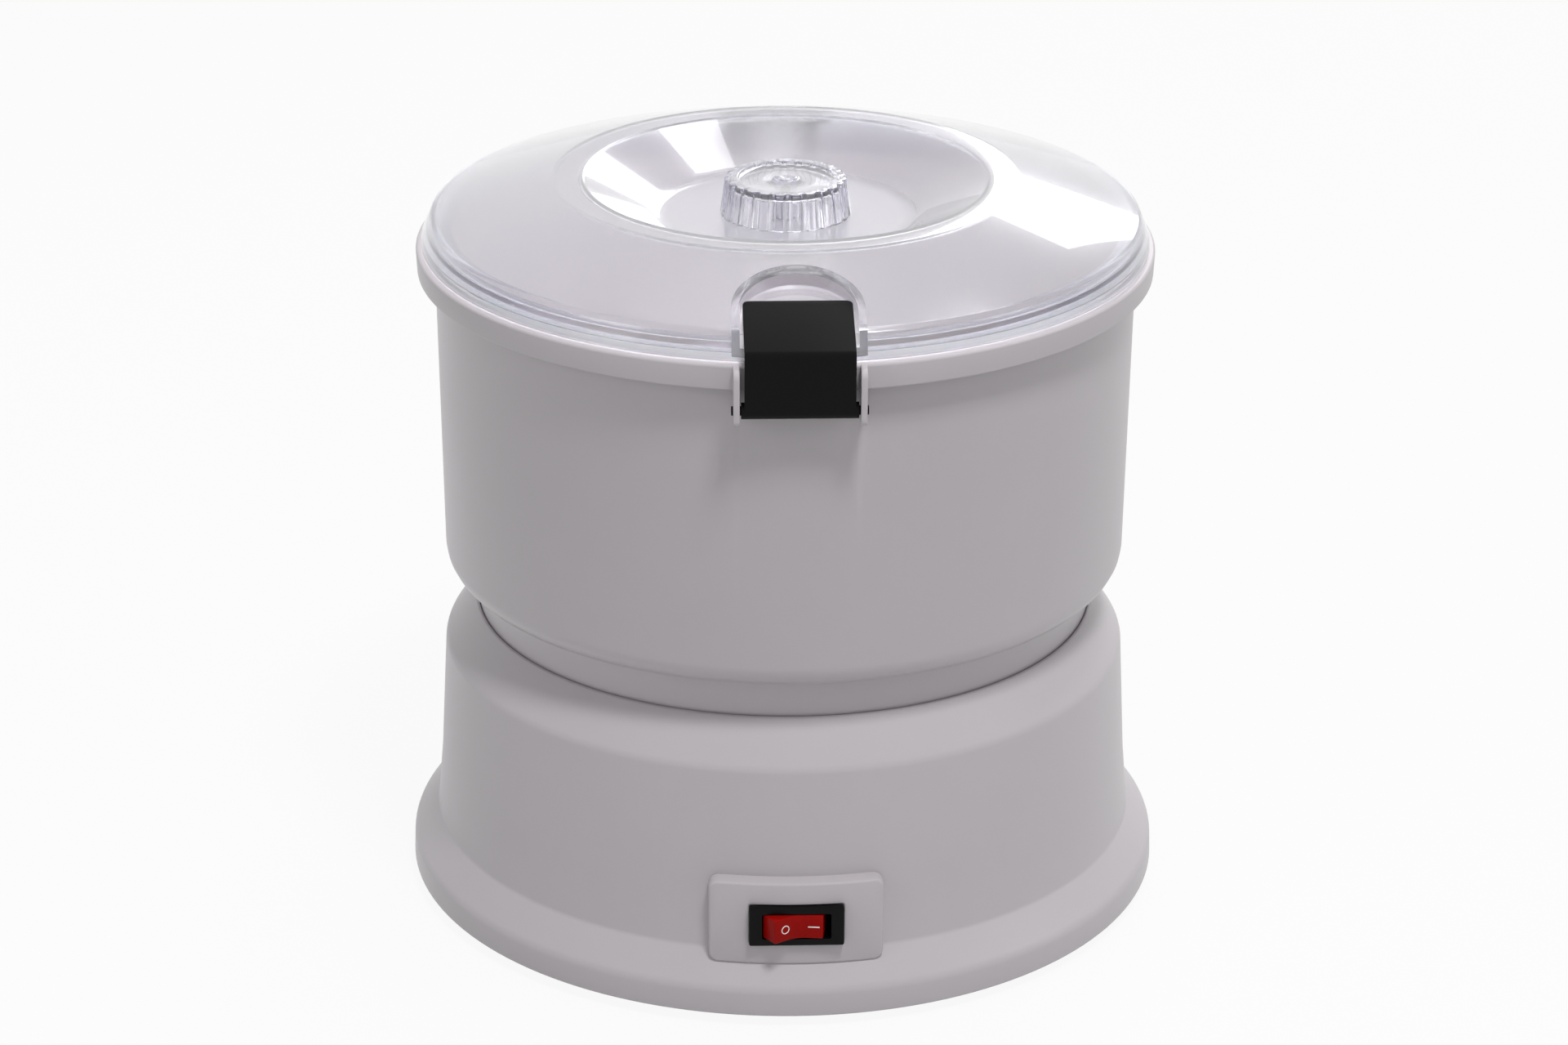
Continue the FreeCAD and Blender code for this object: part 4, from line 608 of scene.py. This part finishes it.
def build_drum():
    """The drum: bowl with rolled rim, collar, tube, sockets, ribs and the four ears."""
    s = scene_sizes()
    wall = s.wall
    flange = s.drum_top - 2.4 * MM
    band_bottom = s.drum_top - s.band_height
    inner_floor = s.drum_floor + 3 * MM
    inner_band = s.band_radius - 2.8 * MM
    outline = [
        (s.collar_foot, s.deck_height, 0.5 * MM),
        (s.collar_top, s.drum_floor, 0.8 * MM),
        (s.drum_foot, s.drum_floor, 8.6 * MM),
        (s.drum_neck, flange, 0.6 * MM),
        (inner_band, flange, 0.5 * MM),
        (inner_band, band_bottom, 0.5 * MM),
        (s.band_radius - 0.4 * MM, band_bottom, 0.5 * MM),
        (s.band_radius, s.drum_top, 1.1 * MM),
        (s.drum_neck - wall, s.drum_top, 0.8 * MM),
        (s.drum_foot - wall, inner_floor, 8.0 * MM),
        (12 * MM, inner_floor, 2.0 * MM),
        (12 * MM, inner_floor + 23 * MM, 0.8 * MM),
        (8.5 * MM, inner_floor + 23 * MM, 0.5 * MM),
        (8.5 * MM, s.drum_floor, 0.5 * MM),
        (s.collar_top - wall, s.drum_floor, 1.0 * MM),
        (s.collar_foot - wall, s.deck_height, 0.5 * MM),
    ]
    drum = turned("drum_bowl", outline)
    for number in range(6):
        rib = block("rib", (s.drum_foot - wall - 3 * MM, -3.5 * MM, 0.134),
                    (s.drum_foot - wall + MM, 3.5 * MM, 0.189), MM)
        rib.data.transform(Matrix.Rotation(2 * math.pi * number / 6, 4, "Z"))
        combine(drum, softened(rib, 0.6 * MM), "UNION")
    for angle in (30, 150, 270):
        socket = block("socket", (73.3 * MM, -8.7 * MM, 0.1008), (86.7 * MM, 8.7 * MM, 0.1145), MM)
        hollow = block("hollow", (75.7 * MM, -6.3 * MM, 0.099), (84.3 * MM, 6.3 * MM, 0.1079))
        combine(socket, hollow, "DIFFERENCE")
        socket.data.transform(Matrix.Rotation(math.radians(angle), 4, "Z"))
        combine(drum, socket, "UNION")
    for turn in (0, 1):
        for side in (-1, 1):
            x = side * 18.7 * MM
            corners = [(x, 0.1145, 209.7 * MM, 0), (x, 127.8 * MM, 209.7 * MM, 2.0 * MM),
                       (x, 127.8 * MM, s.drum_top, 3.0 * MM), (x, 0.1145, s.drum_top, 0)]
            ear = softened(prism("ear", corners, (side * 2 * MM, 0, 0)), 0.35 * MM)
            if turn:
                half_turned(ear)
            combine(drum, ear, "UNION")
        side_y = -s.pivot_radius if turn else s.pivot_radius
        hole = rod("hole", 1.55 * MM, (-0.03, side_y, s.pivot_height),
                   (0.03, side_y, s.pivot_height), 32)
        combine(drum, hole, "DIFFERENCE")
    dressed(drum, "drum", finish_for("body_plastic"), ["drum_shell"])


def build_latches():
    """The black latches: a bent plate with side flanges and a hinge barrel, and their pins."""
    s = scene_sizes()
    black = finish_for("black_plastic")
    slope = math.tan(math.radians(16))
    thick = 2.4 * MM
    drop = thick / math.cos(math.radians(16))
    tip = s.latch_bend + (s.latch_face - s.latch_tip) * slope
    half = s.latch_width / 2
    inside = s.latch_face - thick
    for name, body in (("rear_latch", "rear_latch"), ("front_latch", "front_latch")):
        corners = [
            (-half, inside, s.pivot_height, 0),
            (-half, s.latch_face, s.pivot_height, 0),
            (-half, s.latch_face, s.latch_bend, 1.8 * MM),
            (-half, s.latch_tip, tip, 0),
            (-half, s.latch_tip, tip - drop, 0),
            (-half, inside, s.latch_bend + thick * slope - drop, 0.8 * MM),
        ]
        latch = prism(name + "_plate", corners, (s.latch_width, 0, 0))
        start_editing(latch)
        for side in (-1, 1):
            select_vertices(latch, lambda place, side=side: place.x * side > half - MM / 10
                            and place.y < s.latch_tip + MM / 10)
            bpy.ops.mesh.bevel(offset=2 * MM, segments=ROUND_STEPS, affect="EDGES")
        stop_editing()
        barrel = rod("barrel", 2.6 * MM, (-18.2 * MM, s.pivot_radius, s.pivot_height),
                     (18.2 * MM, s.pivot_radius, s.pivot_height), 40)
        combine(latch, barrel, "UNION")
        softened(latch, 0.45 * MM, 3, 50)
        bore = rod("bore", 1.53 * MM, (-0.03, s.pivot_radius, s.pivot_height),
                   (0.03, s.pivot_radius, s.pivot_height), 32)
        combine(latch, bore, "DIFFERENCE")
        pin = rod(name + "_pin_rod", 1.5 * MM, (-21.3 * MM, s.pivot_radius, s.pivot_height),
                  (21.3 * MM, s.pivot_radius, s.pivot_height), 32)
        softened(pin, 0.2 * MM, 2)
        if name == "front_latch":
            half_turned(latch)
            half_turned(pin)
        dressed(latch, body, black, [name])
        dressed(pin, body, black, [name + "_pin"])


def arch(name, half_width, centre, reach, low, high):
    """An upright block with a half-round inner end, on the +Y side."""
    steps = 32
    corners = [(half_width, reach, low, 0), (-half_width, reach, low, 0)]
    for number in range(steps + 1):
        turn = math.pi + math.pi * number / steps
        corners.append((half_width * math.cos(turn), centre + half_width * math.sin(turn), low, 0))
    return prism(name, corners, (0, 0, high - low))


def wedge(name, drop):
    """Everything below the sloping pocket floor, lowered by a drop."""
    s = scene_sizes()
    slope = math.tan(math.radians(16))
    floor = s.latch_bend + (s.latch_face - s.latch_tip) * slope - 2.797 * MM - drop
    near, far, bottom = 0.070, 0.135, 0.215
    corners = [(-0.04, near, bottom, 0), (-0.04, far, bottom, 0),
               (-0.04, far, floor - (far - s.latch_tip) * slope, 0),
               (-0.04, near, floor + (s.latch_tip - near) * slope, 0)]
    return prism(name, corners, (0.08, 0, 0))


def build_lid():
    """The clear lid with ring, dish, cone, skirt, lip, seal groove and latch pockets."""
    s = scene_sizes()
    wall = 2.4 * MM
    bottom = s.drum_top + 0.4 * MM
    lip_bottom = bottom - 7 * MM
    outside = [
        (0, s.dish_floor, 0),
        (s.dish_radius, s.dish_floor, 4.0 * MM),
        (s.ring_inner, s.lid_top, 0.7 * MM),
        (s.ring_outer, s.lid_top, 0.9 * MM),
        (s.cone_radius, s.cone_height, 0.9 * MM),
        (s.skirt_radius, 230.5 * MM, 0.8 * MM),
        (s.skirt_radius, bottom, 0.4 * MM),
        (119 * MM, bottom, 0),
        (119 * MM, 230.6 * MM, 0),
        (114.7 * MM, 230.6 * MM, 0),
        (114.7 * MM, bottom, 0),
        (113.6 * MM, bottom, 0),
        (113.6 * MM, lip_bottom, 0.6 * MM),
        (111 * MM, lip_bottom, 0.6 * MM),
        (111 * MM, 233.0 * MM, 0.6 * MM),
        (s.cone_radius - 1.2 * MM, 233.0 * MM, 1.0 * MM),
        (s.cone_radius - wall, s.cone_height - wall * 0.8, 1.0 * MM),
        (s.ring_outer - wall / 4, s.lid_top - wall, 1.0 * MM),
        (s.ring_inner + wall / 2, s.lid_top - wall, 1.0 * MM),
        (s.dish_radius + wall / 2, s.dish_floor - wall, 4.0 * MM),
        (0, s.dish_floor - wall, 0),
    ]
    lid = turned("lid_cover", outside, 192)
    hull = turned("hull", outside[:7] + [(0, bottom, 0)], 192)
    low, high = s.drum_top, s.lid_top + 0.005
    half = s.pocket_width / 2
    reach = s.skirt_radius + 5 * MM
    walls = arch("walls", half + 2.5 * MM, s.pocket_centre, reach, low, high)
    combine(walls, wedge("underside", 2.7 * MM), "DIFFERENCE")
    combine(walls, hull, "INTERSECT")
    hollow = arch("hollow", half, s.pocket_centre, reach + 5 * MM, low, high)
    combine(hollow, wedge("floor", 0.3 * MM), "DIFFERENCE")
    for turn in (0, 1):
        for tool, operation in ((walls, "UNION"), (hollow, "DIFFERENCE")):
            copy = tool.copy()
            copy.data = tool.data.copy()
            bpy.context.collection.objects.link(copy)
            if turn:
                half_turned(copy)
            combine(lid, copy, operation)
    bpy.data.objects.remove(walls)
    bpy.data.objects.remove(hollow)
    frosted = clear_san("clear_san_with_frosted_dish", 0.16, s.dish_radius)
    dressed(lid, "lid", frosted, ["lid_shell"])
    lid.visible_shadow = False


def build_knob():
    """The clear fluted knob: hollow, with a stepped top and a centre boss."""
    s = scene_sizes()
    floor = s.dish_floor
    top = 249.3 * MM
    outline = [
        (s.knob_radius, floor, 0.4 * MM), (s.knob_radius - 1.7 * MM, top, 0.7 * MM),
        (16 * MM, top, 0.3 * MM), (15.6 * MM, top - 0.6 * MM, 0.0),
        (4.2 * MM, top - 0.6 * MM, 0.5 * MM), (3.6 * MM, top - 0.1 * MM, 0.3 * MM),
        (1.6 * MM, top - 0.1 * MM, 0.3 * MM), (0, top - 0.9 * MM, 0),
        (0, floor + 9 * MM, 0), (1.53 * MM, floor + 9 * MM, 0), (1.53 * MM, floor, 0),
        (4 * MM, floor, 0), (4 * MM, top - 2.7 * MM, 0.8 * MM),
        (s.knob_radius - 3.9 * MM, top - 2.7 * MM, 0.8 * MM),
        (s.knob_radius - 2.2 * MM, floor, 0.2 * MM),
    ]
    knob = turned("clear_knob", outline, 144)
    flutes = 24
    for number in range(flutes):
        turn = 2 * math.pi * number / flutes
        across, away = math.cos(turn), math.sin(turn)
        low, high = 22.5 * MM, 20.6 * MM
        flute = rod("flute", 1.6 * MM, (low * across, low * away, floor - MM),
                    (high * across, high * away, top + MM), 24)
        combine(knob, flute, "DIFFERENCE")
    softened(knob, 0.2 * MM, 2, 40)
    dressed(knob, "lid", finish_for("clear_plastic"), ["lid_knob"])
    knob.visible_shadow = False


def dress_construction():
    """Give every remaining construction node the finish of its slot."""
    for part in frame["record"]["subparts"]:
        obj = NODES[part["node"]]
        slot = "silicone" if part["node"].startswith("suction_foot") else part["material_slot"]
        if not obj.material_slots:
            obj.data.materials.append(finish_for(slot))
        for held in obj.material_slots:
            held.material = finish_for(slot)


# Stage

FOCAL_PIXELS = 5115.9
FRAME_WIDTH = 1920
SENSOR = 36.0
CAMERA_DISTANCE = 1325.8 * MM
CAMERA_HEIGHT = 681.5 * MM
CAMERA_TURN = math.radians(2.2)
CAMERA_PITCH = math.radians(22.79)
CAMERA_ROLL = math.radians(0.302)


def add_camera():
    """A camera at the photograph's place and angle."""
    place = Vector((-CAMERA_DISTANCE * math.sin(CAMERA_TURN),
                    -CAMERA_DISTANCE * math.cos(CAMERA_TURN), CAMERA_HEIGHT))
    bpy.ops.object.camera_add(location=place)
    camera = named(bpy.context.object, "photo_camera")
    camera.data.sensor_width = SENSOR
    camera.data.lens = FOCAL_PIXELS / FRAME_WIDTH * SENSOR
    heading = Matrix.Rotation(-CAMERA_TURN, 4, "Z")
    tilt = Matrix.Rotation(math.pi / 2 - CAMERA_PITCH, 4, "X")
    roll = Matrix.Rotation(CAMERA_ROLL, 4, "Z")
    camera.matrix_world = Matrix.Translation(place) @ heading @ tilt @ roll
    bpy.context.scene.camera = camera


def add_lamp(name, place, size, power, mirrored=True):
    """A soft square lamp that points at the middle of the object, mirrored in gloss or not."""
    bpy.ops.object.light_add(type="AREA", location=place)
    lamp = bpy.context.object
    lamp.name = name
    lamp.data.size = size
    lamp.data.energy = power
    lamp.visible_glossy = mirrored
    aim = Vector((0, 0, 0.13)) - Vector(place)
    lamp.rotation_euler = aim.to_track_quat("-Z", "Y").to_euler()


def add_floor():
    """A pale floor that keeps the object's shadow."""
    bpy.ops.object.select_all(action="DESELECT")
    bpy.ops.mesh.primitive_plane_add(size=12.0, location=(0, 0, 0))
    floor = named(bpy.context.object, "studio_floor")
    made, tree, shader, place = new_surface("painted_floor", Roughness=0.9)
    tinted(tree, shader, grain(tree, place, 0.5).outputs["Fac"], scene_colours().floor, 0.01)
    glow = add_node(tree, "ShaderNodeEmission", {"Strength": 1.0})
    share = add_node(tree, "ShaderNodeMapRange", {"To Min": 0.0, "To Max": 0.92},
                     {"Value": seen_rays(tree)})
    both = add_node(tree, "ShaderNodeMixShader", {}, {"Fac": share.outputs["Result"]})
    tree.links.new(shader.outputs["BSDF"], both.inputs[1])
    tree.links.new(glow.outputs["Emission"], both.inputs[2])
    tree.links.new(both.outputs["Shader"], tree.nodes["Material Output"].inputs["Surface"])
    floor.data.materials.append(made)


def seen_rays(tree):
    """One for rays that the eye, a gloss or clear plastic sends out, else nought."""
    path = add_node(tree, "ShaderNodeLightPath")
    total = path.outputs["Is Camera Ray"]
    for kind in ("Is Glossy Ray", "Is Transmission Ray"):
        larger = add_node(tree, "ShaderNodeMath", operation="MAXIMUM")
        tree.links.new(total, larger.inputs[0])
        tree.links.new(path.outputs[kind], larger.inputs[1])
        total = larger.outputs["Value"]
    return total


def add_world(ambient, seen):
    """Soft ambient light, with a white surrounding for the eye, gloss and glass."""
    world = bpy.data.worlds.new("studio")
    world.use_nodes = True
    bpy.context.scene.world = world
    tree = world.node_tree
    level = add_node(tree, "ShaderNodeMapRange", {"To Min": ambient, "To Max": seen},
                     {"Value": seen_rays(tree)})
    tree.links.new(level.outputs["Result"], tree.nodes["Background"].inputs["Strength"])
    tree.nodes["Background"].inputs["Color"].default_value = linear("ffffff")


class PEELER_OT_base(bpy.types.Operator):
    """Model the base shell"""

    bl_idname = "peeler.base"
    bl_label = "Base"

    def execute(self, context):
        build_base()
        return {"FINISHED"}


class PEELER_OT_switch(bpy.types.Operator):
    """Model the switch frame, rocker and marks"""

    bl_idname = "peeler.switch"
    bl_label = "Switch"

    def execute(self, context):
        build_switch()
        return {"FINISHED"}


class PEELER_OT_drum(bpy.types.Operator):
    """Model the drum"""

    bl_idname = "peeler.drum"
    bl_label = "Drum"

    def execute(self, context):
        build_drum()
        return {"FINISHED"}


class PEELER_OT_latches(bpy.types.Operator):
    """Model both latches and their pins"""

    bl_idname = "peeler.latches"
    bl_label = "Latches"

    def execute(self, context):
        build_latches()
        return {"FINISHED"}


class PEELER_OT_lid(bpy.types.Operator):
    """Model the clear lid"""

    bl_idname = "peeler.lid"
    bl_label = "Lid"

    def execute(self, context):
        build_lid()
        return {"FINISHED"}


class PEELER_OT_knob(bpy.types.Operator):
    """Model the fluted knob"""

    bl_idname = "peeler.knob"
    bl_label = "Knob"

    def execute(self, context):
        build_knob()
        return {"FINISHED"}


class PEELER_OT_works(bpy.types.Operator):
    """Give the construction's own pieces their finishes"""

    bl_idname = "peeler.works"
    bl_label = "Works"

    def execute(self, context):
        dress_construction()
        return {"FINISHED"}


class PEELER_OT_stage(bpy.types.Operator):
    """Set up the floor, lamps, surroundings and camera"""

    bl_idname = "peeler.stage"
    bl_label = "Stage"

    def execute(self, context):
        add_camera()
        add_floor()
        add_world(0.33, 1.0)
        add_lamp("front_lamp", (0.45, -1.05, 2.5), 0.5, 42.0, mirrored=False)
        add_lamp("left_lamp", (-1.7, -1.1, 1.0), 0.8, 5.0, mirrored=False)
        add_lamp("top_lamp", (0.2, 0.4, 2.4), 0.8, 12.0, mirrored=False)
        add_lamp("right_lamp", (1.9, -0.6, 0.9), 0.7, 4.0, mirrored=False)
        add_lamp("right_card", (0.55, 1.98, 1.06), 0.7, 3.8)
        add_lamp("high_card", (0.75, 0.93, 2.08), 0.5, 3.0)
        context.scene.view_settings.view_transform = "Standard"
        return {"FINISHED"}


STEPS = ("stage", "works", "base", "switch", "drum", "latches", "lid", "knob")


class PEELER_PT_panel(bpy.types.Panel):
    """Sidebar panel that lists the steps"""

    bl_idname = "PEELER_PT_panel"
    bl_label = "Electric Potato Peeler"
    bl_space_type = "VIEW_3D"
    bl_region_type = "UI"
    bl_category = "Peeler"

    def draw(self, context):
        for step in STEPS:
            self.layout.operator("peeler." + step)


CLASSES = (PeelerSizes, PeelerColours, PEELER_OT_stage, PEELER_OT_works, PEELER_OT_base,
           PEELER_OT_switch, PEELER_OT_drum, PEELER_OT_latches, PEELER_OT_lid, PEELER_OT_knob,
           PEELER_PT_panel)


def register():
    for kind in CLASSES:
        bpy.utils.register_class(kind)
    bpy.types.Scene.peeler_sizes = bpy.props.PointerProperty(type=PeelerSizes)
    bpy.types.Scene.peeler_colours = bpy.props.PointerProperty(type=PeelerColours)


def unregister():
    del bpy.types.Scene.peeler_colours
    del bpy.types.Scene.peeler_sizes
    for kind in reversed(CLASSES):
        bpy.utils.unregister_class(kind)


def main():
    """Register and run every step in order."""
    register()
    for step in STEPS:
        getattr(bpy.ops.peeler, step)()


if __name__ == "__main__":
    main()
